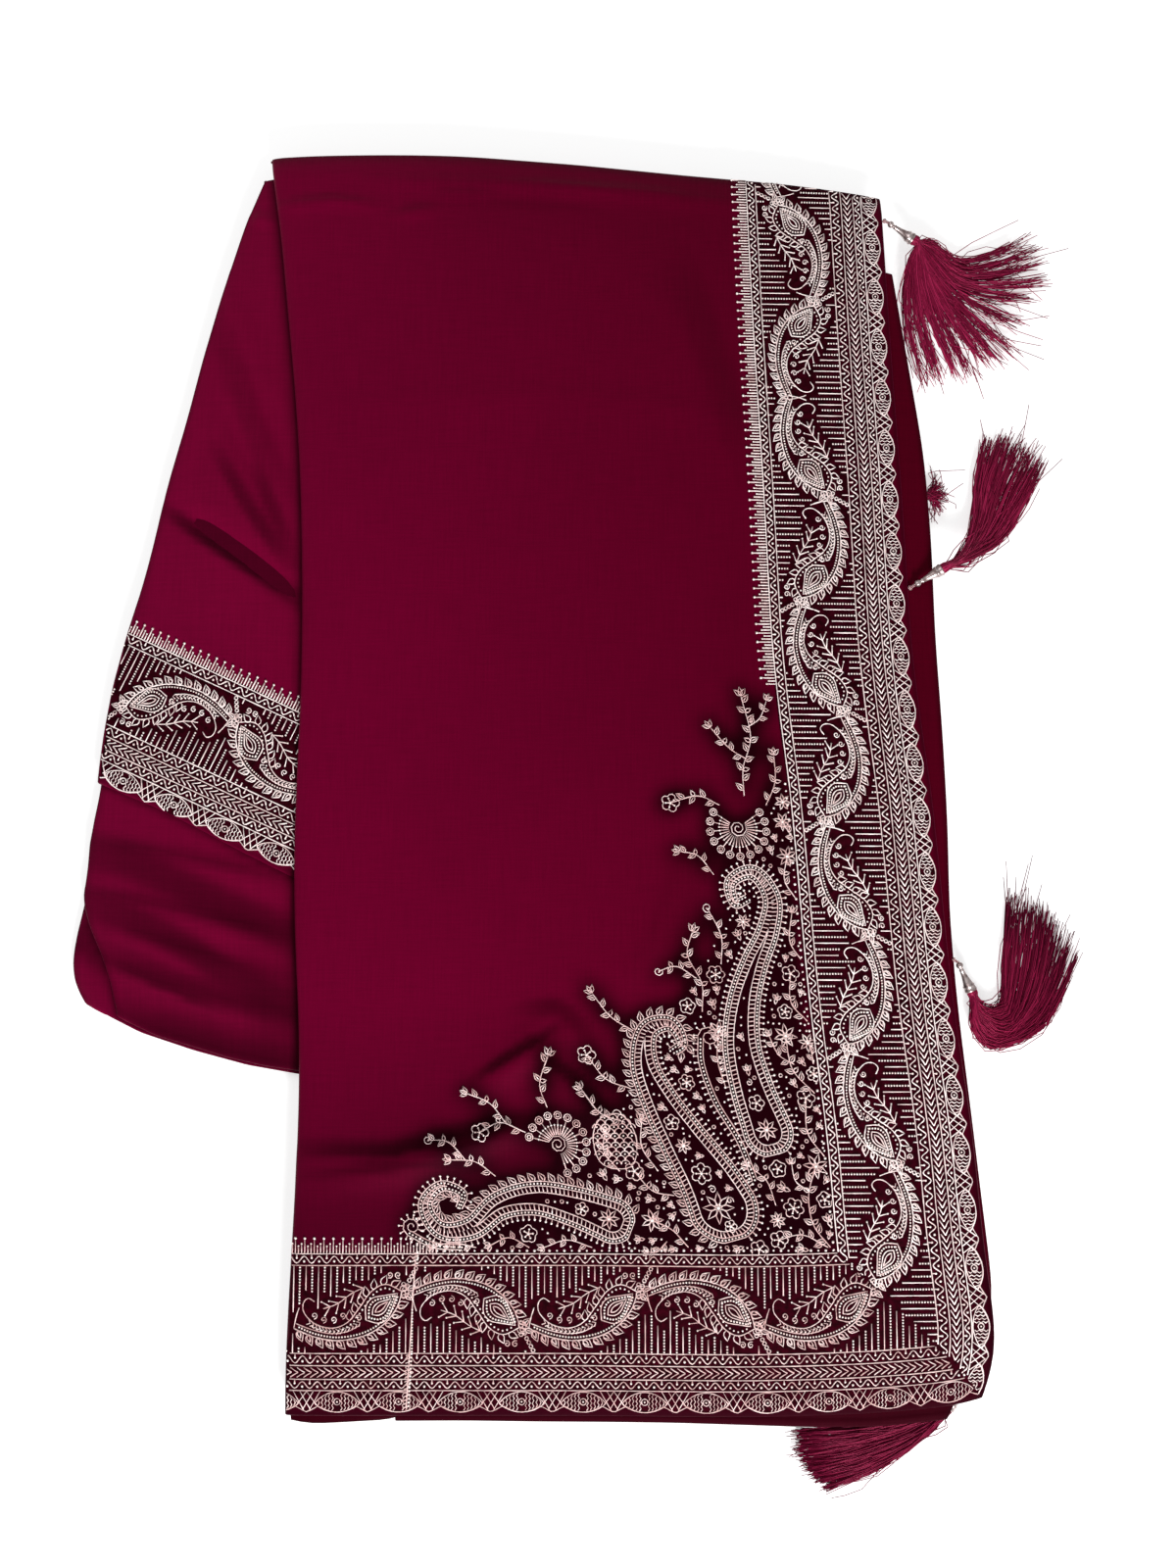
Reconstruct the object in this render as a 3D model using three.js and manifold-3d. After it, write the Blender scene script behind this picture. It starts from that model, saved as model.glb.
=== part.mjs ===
// A folded sari lying flat, in millimetres, +Z up, standing on z = 0.
// The long cloth is folded in half over its top edge and plaited into a flat pile. The pallu, its
// tasselled end, lies face up on the pile, and the inner plies fan out past its folded left side.
// +X runs along the bottom hem towards the tasselled end, +Y from the bottom hem to the top fold.
// The origin is on the flat underside, near the middle of the pile.
import * as THREE from "three";
import Module from "manifold-3d";

const wasm = await Module();
wasm.setup();

// ---- Driving sizes ----
const PILE_HEIGHT = 17.5; // top of the pallu over the middle of the pile
const PLY = 1.6; // one cloth ply, with the air that it traps
const FOLD_PLY = 3.0; // the pallu where it turns under itself at a fold
const FOLD_REACH = { full: 20, gone: 34 }; // how far in from a fold the turned cloth reaches
const SEAM_GAP = 0.3; // between pieces that lie on each other
const PLY_STEP = PLY + SEAM_GAP;
const BACK_ROOM = 0.2; // room under the pallu's front half, over that of the seam gap
const PILE_ROOM = 0.6; // room over the hidden plies
const SIDE_ROOM = 0.5; // room over the hidden side plies
const TUCK = 1.2; // how far the side plies run in under the pallu's left fold
const BACK_SHORT = { left: 46, top: 37 }; // how far inside the folds the pallu's back half ends

// How the top of the pile falls towards each of its edges: from how far in, and how much.
const PALLU_FALLS = {
  hem: { reach: 95, depth: 3.6 },
  foot: { reach: 85, depth: 3.2 },
  fold: { reach: 26, depth: 1.6 },
  top: { reach: 26, depth: 1.8 },
};
const SWAY = { height: 0.45, x: 41, y: 63, phase: 0.6 }; // the slow rise and fall of the whole pile

// The pallu, a row for each section across it, from the bottom hem to the top fold:
// its left fold, the hem of its front half and the hem of the back half that shows under it.
const PALLU_SECTIONS = [
  { y: -279, fold: -140.2, hem: 137.0, underHem: 134.0 },
  { y: -274, fold: -140.2, hem: 146.0, underHem: 141.0 },
  { y: -268, fold: -140.4, hem: 150.6, underHem: 149.0 },
  { y: -258, fold: -140.3, hem: 154.2, underHem: 153.8 },
  { y: -246, fold: -139.8, hem: 155.0, underHem: 155.2 },
  { y: -232, fold: -139.4, hem: 152.6, underHem: 154.3 },
  { y: -210, fold: -138.5, hem: 149.6, underHem: 151.6 },
  { y: -180, fold: -137.4, hem: 147.8, underHem: 149.2 },
  { y: -150, fold: -137.0, hem: 145.0, underHem: 146.2 },
  { y: -120, fold: -137.6, hem: 141.2, underHem: 143.2 },
  { y: -88, fold: -140.0, hem: 138.4, underHem: 140.4 },
  { y: -53, fold: -141.6, hem: 136.0, underHem: 140.3 },
  { y: -18, fold: -141.4, hem: 133.4, underHem: 140.6 },
  { y: 10, fold: -140.4, hem: 129.8, underHem: 139.4 },
  { y: 42, fold: -140.2, hem: 126.6, underHem: 137.6 },
  { y: 82, fold: -141.0, hem: 125.2, underHem: 137.2 },
  { y: 123, fold: -142.8, hem: 123.6, underHem: 136.0 },
  { y: 158, fold: -145.6, hem: 121.9, underHem: 130.9 },
  { y: 200, fold: -150.4, hem: 119.9, underHem: 125.6 },
  { y: 230, fold: -153.6, hem: 119.0, underHem: 120.6 },
  { y: 249, fold: -155.6, hem: 118.4, underHem: 117.6 },
  { y: 258, fold: -159.6, hem: 118.2, underHem: 117.0 },
  { y: 275, fold: -160.4, hem: 118.0, underHem: 116.6 },
];
// The pallu's two ends, a row for each place across it.
const PALLU_ENDS = [
  { x: -160, top: 273.8, hem: -278.6, underHem: -282.8 },
  { x: -140, top: 274.3, hem: -278.4, underHem: -282.9 },
  { x: -104, top: 274.7, hem: -278.2, underHem: -281.0 },
  { x: -72, top: 274.0, hem: -278.2, underHem: -280.6 },
  { x: -43, top: 271.8, hem: -278.2, underHem: -281.0 },
  { x: -12, top: 269.3, hem: -278.3, underHem: -281.2 },
  { x: 16, top: 266.2, hem: -278.6, underHem: -281.5 },
  { x: 47, top: 263.4, hem: -278.9, underHem: -282.4 },
  { x: 78, top: 260.9, hem: -278.4, underHem: -283.4 },
  { x: 109, top: 257.0, hem: -277.2, underHem: -283.4 },
  { x: 128, top: 254.0, hem: -275.8, underHem: -282.0 },
  { x: 140, top: 254.0, hem: -274.2, underHem: -279.0 },
  { x: 150, top: 254.0, hem: -271.6, underHem: -273.0 },
  { x: 156, top: 254.0, hem: -268.0, underHem: -266.0 },
];

// The plies that fan out at the left, a row for each section: the left edge of each ply.
const SIDE_SECTIONS = [
  { y: -140, upper: -217.0, middle: -217.0, lower: -228.0 },
  { y: -112, upper: -217.0, middle: -217.4, lower: -231.0 },
  { y: -104, upper: -217.0, middle: -219.6, lower: -236.4 },
  { y: -95, upper: -218.0, middle: -221.6, lower: -237.6 },
  { y: -82, upper: -221.0, middle: -228.0, lower: -236.8 },
  { y: -68, upper: -224.0, middle: -233.4, lower: -233.6 },
  { y: -50, upper: -228.0, middle: -232.0, lower: -231.4 },
  { y: -34, upper: -229.4, middle: -231.0, lower: -230.0 },
  { y: -20, upper: -229.6, middle: -228.4, lower: -227.4 },
  { y: -6, upper: -228.6, middle: -227.4, lower: -226.4 },
  { y: 16, upper: -226.2, middle: -225.0, lower: -224.0 },
  { y: 40, upper: -221.8, middle: -220.6, lower: -219.8 },
  { y: 63, upper: -215.4, middle: -214.2, lower: -213.4 },
  { y: 87, upper: -209.6, middle: -208.4, lower: -207.6 },
  { y: 119, upper: -203.2, middle: -202.0, lower: -201.2 },
  { y: 150, upper: -195.5, middle: -194.4, lower: -193.8 },
  { y: 183, upper: -188.1, middle: -187.0, lower: -186.4 },
  { y: 216, upper: -179.3, middle: -178.4, lower: -178.0 },
  { y: 249, upper: -169.4, middle: -168.8, lower: -168.4 },
  { y: 266, upper: -161.8, middle: -161.6, lower: -161.4 },
];
// The lower edge of each of those plies, a row for each place across the fan.
const SIDE_ENDS = [
  { x: -238, upper: -12.4, middle: -104.0, lower: -104.6 },
  { x: -229, upper: -14.2, middle: -109.0, lower: -112.0 },
  { x: -221, upper: -18.0, middle: -113.2, lower: -115.6 },
  { x: -206, upper: -24.0, middle: -121.4, lower: -122.8 },
  { x: -186, upper: -33.6, middle: -127.6, lower: -129.2 },
  { x: -164, upper: -45.2, middle: -134.0, lower: -135.2 },
  { x: -140, upper: -57.0, middle: -138.6, lower: -140.0 },
];
// The hidden side plies' height inside and outside, and how much of it they lose at the foot.
const SIDE_HEIGHT = { inner: 5.2, outer: 2.6, foot: 1.5, reach: 34 };
const SIDE_HEAD = { x: -161, y: 264, slope: 0.1 }; // the fan's head, and how it rises to the right
const SIDE_MIDDLE_X = -200;

// The hidden plies of the pile, bottom to top: each one's share of the height, and how far each of
// its edges lies inside the pallu's.
const PILE_PLIES = [
  { share: 0.18, left: 4.6, right: 5.0, top: 4.6, hem: 4.4 },
  { share: 0.2, left: 3.6, right: 3.6, top: 3.0, hem: 3.2 },
  { share: 0.19, left: 4.8, right: 5.6, top: 2.2, hem: 5.0 },
  { share: 0.22, left: 3.6, right: 4.2, top: 3.4, hem: 2.6 },
  { share: 0.21, left: 4.4, right: 6.4, top: 2.4, hem: 4.2 },
];
const SIDE_PLIES = [
  { share: 0.36, left: 2.6, right: 0.2, top: 1.2, hem: 2.4 },
  { share: 0.3, left: 1.4, right: 0.1, top: 0.8, hem: 3.6 },
  { share: 0.34, left: 2.2, right: 0.2, top: 1.0, hem: 2.0 },
];
const GROOVE = 1.3; // how deep the line between two plies is
const BULGE = { from: 0.3, to: 0.72 }; // the part of a ply's height where its edge is full
const PILE_RING = {
  radius: { southEast: 34, other: 7 },
  spans: { corner: 2, side: 14, end: 6 },
  capInsets: [1.2, 24, 70],
};
const SIDE_RING = {
  radius: { southEast: 2, other: 2 },
  spans: { corner: 1, side: 11, end: 5 },
  capInsets: [0.6, 14],
};

// About how wide and how long each ply is, which spaces the rows of its mesh.
const EXTENT = {
  pile: { x: 290, y: 545 },
  front: { x: 285, y: 545 },
  back: { x: 240, y: 500 },
  side: { x: 70 },
  sidePile: { x: 80, y: 390 },
};

// The creases, a row each: a soft ridge (or a trough, where height is below 0) along a straight run.
const PALLU_CREASES = [
  { x0: -62, y0: -144, x1: -34, y1: -124, height: 1.3, width: 7 },
  { x0: -34, y0: -124, x1: -12, y1: -140, height: 1.3, width: 6 },
  { x0: -30, y0: -134, x1: -2, y1: -166, height: 1.9, width: 7 },
  { x0: -98, y0: -172, x1: -40, y1: -158, height: 1.7, width: 7 },
  { x0: -134, y0: -180, x1: -70, y1: -175, height: 0.9, width: 7 },
  { x0: 30, y0: 212, x1: 56, y1: 128, height: 0.8, width: 10 },
];
const SIDE_CREASES = [
  { x0: -193, y0: 104, x1: -141, y1: 66, height: 1.1, width: 6 },
  { x0: -178, y0: 152, x1: -142, y1: 84, height: 0.6, width: 6 },
];
const PLEATS = [
  { x0: -232, y0: -28, x1: -141, y1: -66, height: 0.9, width: 7 },
  { x0: -233, y0: -63, x1: -141, y1: -92, height: 0.9, width: 6 },
  { x0: -222, y0: -84, x1: -141, y1: -112, height: 0.8, width: 6 },
];

// How finely each ply follows its creases, in zones from its left edge and from its foot.
const PALLU_ZONES = {
  x: [
    { upTo: 0.1, spans: 3 },
    { upTo: 0.5, spans: 8 },
    { upTo: 0.93, spans: 5 },
    { upTo: 1, spans: 2 },
  ],
  y: [
    { upTo: 0.04, spans: 2 },
    { upTo: 0.17, spans: 3 },
    { upTo: 0.35, spans: 10 },
    { upTo: 1, spans: 10 },
  ],
};
const BACK_ZONES = { x: [{ upTo: 1, spans: 8 }], y: [{ upTo: 1, spans: 12 }] };
const SIDE_ZONES = {
  lower: { x: [{ upTo: 1, spans: 4 }], y: [{ upTo: 0.14, spans: 7 }, { upTo: 1, spans: 8 }] },
  middle: { x: [{ upTo: 1, spans: 5 }], y: [{ upTo: 0.25, spans: 12 }, { upTo: 1, spans: 7 }] },
  upper: {
    x: [{ upTo: 1, spans: 7 }],
    y: [{ upTo: 0.3, spans: 4 }, { upTo: 0.7, spans: 10 }, { upTo: 1, spans: 4 }],
  },
};

// The embroidered bands: how thick they are, how far over the cloth they start, and how far inside
// its hem their scallops end.
const BAND = { thick: 0.7, gap: 0.45, hemMargin: 1.5, endMargin: 1.8, spans: 2 };
const SCALLOP = { pitch: 12.1, depth: 2.6, steps: 3, bend: 0.8 };
// Each band: its width, where it runs from and to, and how many scallops it has.
const HEM_BAND = { width: 69.5, from: -138.4, to: 148.6, scallops: 24 };
const END_BAND = { width: 63, from: -206, to: 258, scallops: 39 };
const SIDE_BAND = { width: 69.5, from: -228, to: -141, scallops: 7, inside: 1.6 };

// The tassels. Lengths are along the cap's axis, from the bead at the cord to the skirt.
const CAP = {
  length: 13.5,
  sides: 8,
  profile: [
    { radius: 0, at: 0 },
    { radius: 1.05, at: 0.35 },
    { radius: 1.5, at: 1.5 },
    { radius: 0.8, at: 3.0 },
    { radius: 1.5, at: 7.5 },
    { radius: 2.6, at: 11.0 },
    { radius: 2.5, at: 13.5 },
    { radius: 0, at: 13.5 },
  ],
};
const CORD_RADIUS = 0.6;
// A lock of threads, and the head that the locks of a skirt are joined in.
const LOCK = { root: 0.85, tip: 0.5, steps: 4, layer: 2.1, drop: 1.6 };
const HEAD = { radius: 2.34, length: 3, taper: 0.8, sides: 8 };
const FLOOR_CLEAR = 0.6; // how far a tassel's threads stay above the surface

// Each tassel: where its cord leaves the hem, where its cap begins and ends, and the paths that its
// outer and inner threads take over the surface, root to tip. Threads between them are blended.
const TASSELS = [
  {
    name: "tassel_top",
    hem: { x: 119.6, y: 242.4, z: 13.4 },
    cap: { from: { x: 121.4, y: 241.4, z: 13.6 }, to: { x: 133.8, y: 235.0, z: 9.0 } },
    locks: 16,
    guides: [
      [{ x: 142, y: 236 }, { x: 153, y: 229 }, { x: 165, y: 231 }, { x: 183, y: 240 }],
      [{ x: 141, y: 231 }, { x: 154, y: 219 }, { x: 172, y: 218 }, { x: 193, y: 222 }],
      [{ x: 139, y: 227 }, { x: 149, y: 212 }, { x: 162, y: 200 }, { x: 177, y: 186 }],
      [{ x: 137, y: 225 }, { x: 142, y: 208 }, { x: 149, y: 192 }, { x: 156, y: 176 }],
      [{ x: 131, y: 226 }, { x: 128, y: 208 }, { x: 129.5, y: 190 }, { x: 134, y: 172 }],
    ],
  },
  {
    name: "tassel_middle",
    hem: { x: 126.9, y: 71.4, z: 13.2 },
    cap: { from: { x: 128.8, y: 72.4, z: 14.2 }, to: { x: 141.4, y: 79.6, z: 15.8 } },
    locks: 13,
    guides: [
      [{ x: 151, y: 88 }, { x: 157, y: 104 }, { x: 159, y: 124 }, { x: 163, y: 144 }],
      [{ x: 153, y: 87 }, { x: 163, y: 104 }, { x: 170, y: 124 }, { x: 179, y: 144 }],
      [{ x: 154, y: 85 }, { x: 170, y: 95 }, { x: 182, y: 111 }, { x: 193, y: 131 }],
    ],
  },
  {
    name: "tassel_lower",
    hem: { x: 141.6, y: -91.6, z: 10.6 },
    cap: { from: { x: 143.6, y: -92.8, z: 10.6 }, to: { x: 149.6, y: -105.2, z: 7.4 } },
    locks: 13,
    guides: [
      [{ x: 155, y: -112 }, { x: 163, y: -110 }, { x: 165, y: -90 }, { x: 168, y: -64 }],
      [{ x: 154, y: -116 }, { x: 167, y: -121 }, { x: 177, y: -104 }, { x: 184, y: -70 }],
      [{ x: 150.5, y: -120 }, { x: 158, y: -129 }, { x: 182, y: -120 }, { x: 198, y: -90 }],
    ],
  },
  {
    name: "tassel_hem",
    hem: { x: 145.4, y: -265.4, z: 7.0 },
    cap: { from: { x: 143.8, y: -267.2, z: 6.4 }, to: { x: 134.8, y: -277.4, z: 4.6 } },
    locks: 13,
    guides: [
      [{ x: 127, y: -280 }, { x: 112, y: -283 }, { x: 94, y: -285 }, { x: 71, y: -286.5 }],
      [{ x: 127, y: -284 }, { x: 112, y: -291 }, { x: 94, y: -297 }, { x: 75, y: -300 }],
      [{ x: 127.5, y: -286 }, { x: 117, y: -295 }, { x: 103, y: -303 }, { x: 83, y: -310.5 }],
    ],
  },
];
// The tassel whose tips alone show, past the edge of the pile.
const HIDDEN_TASSEL = {
  name: "tassel_tucked_skirt",
  root: { x: 133.6, y: 116.0, z: 4.6 },
  towards: { x: 1, y: 0.02 },
  radius: 2,
  locks: 7,
  guides: [
    [{ x: 138.6, y: 119.5 }, { x: 140.4, y: 124 }, { x: 140.6, y: 128.4 }],
    [{ x: 140, y: 116.8 }, { x: 143.4, y: 116.4 }, { x: 147, y: 115.6 }],
    [{ x: 139, y: 114 }, { x: 140.2, y: 109.6 }, { x: 140.4, y: 105 }],
  ],
};

const WINE = 0x6a0028;
const DEEP_WINE = 0x480016;
const THREAD = 0xd8b9b4;
const SILK = 0x6d122e;
const STEEL = 0x9a8a86;

// ---- Small helpers ----
const { lerp, clamp, smoothstep } = THREE.MathUtils;

// A smooth function through a table: the column `of` against the rising column `along`.
function through(rows, along, of) {
  const at = rows.map((row) => row[along]);
  const value = rows.map((row) => row[of]);
  const slope = value.map((_, i) => {
    const a = Math.max(i - 1, 0);
    const b = Math.min(i + 1, value.length - 1);
    return (value[b] - value[a]) / (at[b] - at[a]);
  });
  return (wanted) => {
    const t = clamp(wanted, at[0], at.at(-1));
    let i = 0;
    while (i < at.length - 2 && t > at[i + 1]) i++;
    const run = at[i + 1] - at[i];
    const k = (t - at[i]) / run;
    const rise = value[i + 1] - value[i];
    return (
      value[i] +
      rise * k * k * (3 - 2 * k) +
      run * k * (1 - k) * ((1 - k) * slope[i] - k * slope[i + 1])
    );
  };
}

// The plan of a ply: (u, v), each 0 to 1, to a point, from functions for its four edges.
// left and right give x at a height y, foot and head give y at a place x.
function planOf({ left, right, foot, head, corners }) {
  const { footLeft, footRight, headLeft, headRight } = corners;
  return (u, v) => ({
    x: lerp(left(lerp(footLeft.y, headLeft.y, v)), right(lerp(footRight.y, headRight.y, v)), u),
    y: lerp(foot(lerp(footLeft.x, footRight.x, u)), head(lerp(headLeft.x, headRight.x, u)), v),
  });
}

// The four corners of a ply, each where its side meets its end.
function cornersOf({ left, right, foot, head, spanY }) {
  const corner = (side, end, y) => {
    for (let i = 0; i < 8; i++) y = end(side(y));
    return { x: side(y), y };
  };
  return {
    footLeft: corner(left, foot, spanY.foot),
    footRight: corner(right, foot, spanY.foot),
    headLeft: corner(left, head, spanY.head),
    headRight: corner(right, head, spanY.head),
  };
}

function plyPlan(edges) {
  return planOf({ ...edges, corners: cornersOf(edges) });
}

// The height that a row of creases adds at a point.
function creaseHeight(creases, x, y) {
  let sum = 0;
  for (const { x0, y0, x1, y1, height, width } of creases) {
    const [dx, dy] = [x1 - x0, y1 - y0];
    const length = Math.hypot(dx, dy);
    const along = ((x - x0) * dx + (y - y0) * dy) / (length * length);
    const across = ((x - x0) * dy - (y - y0) * dx) / length;
    const fade = Math.exp(-((2 * (along - 0.5)) ** 4));
    sum += height * fade * Math.exp(-((across / width) ** 2));
  }
  return sum;
}

// A fall of `depth` at an edge, gone `reach` inside it.
const fall = (inside, { reach, depth }) => depth * (1 - clamp(inside / reach, 0, 1)) ** 2;

function geometryFrom(points, triangles) {
  const geometry = new THREE.BufferGeometry();
  geometry.setAttribute("position", new THREE.Float32BufferAttribute(points.flat(), 3));
  geometry.setIndex(triangles.flat());
  geometry.computeVertexNormals();
  return geometry;
}

// Shares of an edge-to-edge length: two close to each end, which round the edge, and between them the
// even spans of each zone, a row each: up to what share of the length, and how many spans.
// `full` says how much of the ply's thickness each one has.
function stations(length, zones, round) {
  const near = [0, 0.29 * round, round];
  const at = [...near];
  for (const { upTo, spans } of zones) {
    const from = at.at(-1);
    const to = Math.min(upTo * length, length - round);
    for (let i = 1; i <= spans; i++) at.push(lerp(from, to, i / spans));
  }
  at.push(...near.slice(0, 2).map((d) => length - d).reverse());
  const full = at.map((d) => Math.sqrt(1 - (1 - Math.min(d, length - d, round) / round) ** 2));
  return { at: at.map((d) => d / length), full };
}

// A ply as a closed wall over its plan, rounded at all its edges. top and bottom give heights.
function plyGeometry({ plan, top, bottom, size, zones, round }) {
  const u = stations(size.x, zones.x, round);
  const v = stations(size.y, zones.y, round);
  const points = [];
  const upper = [];
  const lower = [];
  v.at.forEach((vAt, j) => {
    upper.push([]);
    lower.push([]);
    u.at.forEach((uAt, i) => {
      const { x, y } = plan(uAt, vAt);
      const middle = (top(x, y) + bottom(x, y)) / 2;
      const half = ((top(x, y) - bottom(x, y)) / 2) * u.full[i] * v.full[j];
      upper[j].push(points.push([x, y, middle + half]) - 1);
      const onEdge = u.full[i] * v.full[j] === 0;
      lower[j].push(onEdge ? upper[j][i] : points.push([x, y, middle - half]) - 1);
    });
  });
  const triangles = [];
  for (let j = 0; j + 1 < v.at.length; j++) {
    for (let i = 0; i + 1 < u.at.length; i++) {
      const [a, b, c, d] = [upper[j][i], upper[j][i + 1], upper[j + 1][i + 1], upper[j + 1][i]];
      const [e, f, g, h] = [lower[j][i], lower[j][i + 1], lower[j + 1][i + 1], lower[j + 1][i]];
      triangles.push([a, b, c], [a, c, d], [e, g, f], [e, h, g]);
    }
  }
  return geometryFrom(points, triangles);
}

// Joins rings of equal length, bottom to top, and closes both ends with a fan.
function ringGeometry(rings, foot, head) {
  const count = rings[0].length;
  const points = rings.flat();
  const triangles = [];
  for (let j = 0; j + 1 < rings.length; j++) {
    for (let i = 0; i < count; i++) {
      const next = (i + 1) % count;
      const [a, b] = [j * count + i, j * count + next];
      triangles.push([a, b, b + count], [a, b + count, a + count]);
    }
  }
  const footAt = points.push(foot) - 1;
  const headAt = points.push(head) - 1;
  const last = (rings.length - 1) * count;
  for (let i = 0; i < count; i++) {
    const next = (i + 1) % count;
    triangles.push([footAt, next, i], [headAt, last + i, last + next]);
  }
  return geometryFrom(points, triangles);
}

// A rounded rectangle in a plan's own (u, v), counter-clockwise: each side set in by its own inset.
function roundedRing(size, inset, radius, spans) {
  const west = inset.left;
  const east = size.x - inset.right;
  const south = inset.hem;
  const north = size.y - inset.top;
  const corners = [
    { x: east - radius.southEast, y: south + radius.southEast, r: radius.southEast, turn: -0.5 },
    { x: east - radius.other, y: north - radius.other, r: radius.other, turn: 0 },
    { x: west + radius.other, y: north - radius.other, r: radius.other, turn: 0.5 },
    { x: west + radius.other, y: south + radius.other, r: radius.other, turn: 1 },
  ];
  const onArc = ({ x, y, r, turn }, k) => {
    const angle = Math.PI * (turn + k / 2);
    return { x: x + r * Math.cos(angle), y: y + r * Math.sin(angle) };
  };
  const ring = [];
  corners.forEach((corner, c) => {
    for (let k = 0; k < spans.corner; k++) ring.push(onArc(corner, k / spans.corner));
    const from = onArc(corner, 1);
    const to = onArc(corners[(c + 1) % 4], 0);
    const steps = c % 2 ? spans.end : spans.side;
    for (let k = 0; k < steps; k++) {
      ring.push({ x: lerp(from.x, to.x, k / steps), y: lerp(from.y, to.y, k / steps) });
    }
  });
  return ring.map(({ x, y }) => ({ u: x / size.x, v: y / size.y }));
}

// A pile of hidden plies as one solid: its edge bulges at each ply, and its top follows `top`.
function pileGeometry({ plan, top, size, plies, radius, spans, capInsets }) {
  const ringAt = (inset, share) =>
    roundedRing(size, inset, radius, spans).map(({ u, v }) => {
      const { x, y } = plan(u, v);
      return [x, y, share * top(x, y)];
    });
  const grown = (inset, by) =>
    Object.fromEntries(Object.entries(inset).map(([side, value]) => [side, value + by]));
  const rings = [];
  let base = 0;
  plies.forEach(({ share, ...inset }, i) => {
    rings.push(ringAt(grown(inset, i ? GROOVE : GROOVE / 2), base));
    rings.push(ringAt(inset, base + BULGE.from * share));
    rings.push(ringAt(inset, base + BULGE.to * share));
    base += share;
  });
  const { share: _, ...lastInset } = plies.at(-1);
  for (const more of capInsets) rings.push(ringAt(grown(lastInset, more), 1));
  const middle = plan(0.5, 0.5);
  return ringGeometry(rings, [middle.x, middle.y, 0], [middle.x, middle.y, top(middle.x, middle.y)]);
}

// ---- The shape of the pile ----
const spanY = { foot: -278, head: 265 }; // where its corners are first looked for
const pallu = {
  fold: through(PALLU_SECTIONS, "y", "fold"),
  hem: through(PALLU_SECTIONS, "y", "hem"),
  underHem: through(PALLU_SECTIONS, "y", "underHem"),
  top: through(PALLU_ENDS, "x", "top"),
  foot: through(PALLU_ENDS, "x", "hem"),
  underFoot: through(PALLU_ENDS, "x", "underHem"),
};

// The top of the pallu without its creases. It goes on smoothly past its own edges.
function pileTop(x, y) {
  return (
    PILE_HEIGHT -
    fall(pallu.hem(y) - x, PALLU_FALLS.hem) -
    fall(y - pallu.foot(x), PALLU_FALLS.foot) -
    fall(x - pallu.fold(y), PALLU_FALLS.fold) -
    fall(pallu.top(x) - y, PALLU_FALLS.top) +
    SWAY.height * Math.sin(x / SWAY.x + SWAY.phase) * Math.cos(y / SWAY.y)
  );
}
const palluTop = (x, y) => pileTop(x, y) + creaseHeight(PALLU_CREASES, x, y);

// The pallu is thicker where it turns under itself, at its left and top folds.
function palluBottom(x, y) {
  const inside = Math.min(x - pallu.fold(y), pallu.top(x) - y);
  const single = smoothstep(inside, FOLD_REACH.full, FOLD_REACH.gone);
  return palluTop(x, y) - lerp(FOLD_PLY, PLY, single);
}
const hiddenTop = (x, y) => pileTop(x, y) - 2 * PLY_STEP - PILE_ROOM;

function palluFront() {
  return plyGeometry({
    plan: plyPlan({ left: pallu.fold, right: pallu.hem, foot: pallu.foot, head: pallu.top, spanY }),
    top: palluTop,
    bottom: palluBottom,
    size: EXTENT.front,
    zones: PALLU_ZONES,
    round: FOLD_PLY / 2,
  });
}

// The back half shows as a strip past the front's hems. It ends short of the folds.
function palluBack() {
  const plan = plyPlan({
    left: (y) => pallu.fold(y) + BACK_SHORT.left,
    right: pallu.underHem,
    foot: pallu.underFoot,
    head: (x) => pallu.top(x) - BACK_SHORT.top,
    spanY,
  });
  return plyGeometry({
    plan,
    top: (x, y) => pileTop(x, y) - PLY_STEP - BACK_ROOM,
    bottom: (x, y) => pileTop(x, y) - PLY_STEP - BACK_ROOM - PLY,
    size: EXTENT.back,
    zones: BACK_ZONES,
    round: PLY / 2,
  });
}

function hiddenPile() {
  const plan = plyPlan({
    left: pallu.fold,
    right: pallu.underHem,
    foot: pallu.underFoot,
    head: pallu.top,
    spanY,
  });
  return pileGeometry({ plan, top: hiddenTop, size: EXTENT.pile, plies: PILE_PLIES, ...PILE_RING });
}

// ---- The side fan ----
const sideRight = (y) => pallu.fold(y) + TUCK;
const sideHead = (x) => SIDE_HEAD.y + SIDE_HEAD.slope * (x - SIDE_HEAD.x);
const sideSpanY = (edges) => ({ foot: edges.foot(SIDE_MIDDLE_X), head: SIDE_HEAD.y });
const sideEdges = (ply) => ({
  left: through(SIDE_SECTIONS, "y", ply),
  right: sideRight,
  foot: through(SIDE_ENDS, "x", ply),
  head: sideHead,
});
const lowerEdges = sideEdges("lower");

// The top of the hidden side plies: higher where they run in under the pallu.
function sideBase(x, y) {
  const across = clamp((x - lowerEdges.left(y)) / (sideRight(y) - lowerEdges.left(y)), 0, 1);
  const lift = lerp(SIDE_HEIGHT.outer, SIDE_HEIGHT.inner, across * (2 - across));
  const atFoot = { reach: SIDE_HEIGHT.reach, depth: SIDE_HEIGHT.foot };
  return lift - fall(y - lowerEdges.foot(x), atFoot);
}

// The top of the side ply of that level, 1 to 3, without its creases.
const sideTop = (level) => (x, y) => sideBase(x, y) + SIDE_ROOM + level * PLY_STEP;

function sidePly(ply, level, creases, zones) {
  const edges = sideEdges(ply);
  const span = sideSpanY(edges);
  const plain = sideTop(level);
  return plyGeometry({
    plan: plyPlan({ ...edges, spanY: span }),
    top: (x, y) => plain(x, y) + creaseHeight(creases, x, y),
    bottom: (x, y) => plain(x, y) - PLY,
    size: { ...EXTENT.side, y: span.head - span.foot },
    zones,
    round: PLY / 2,
  });
}

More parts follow.
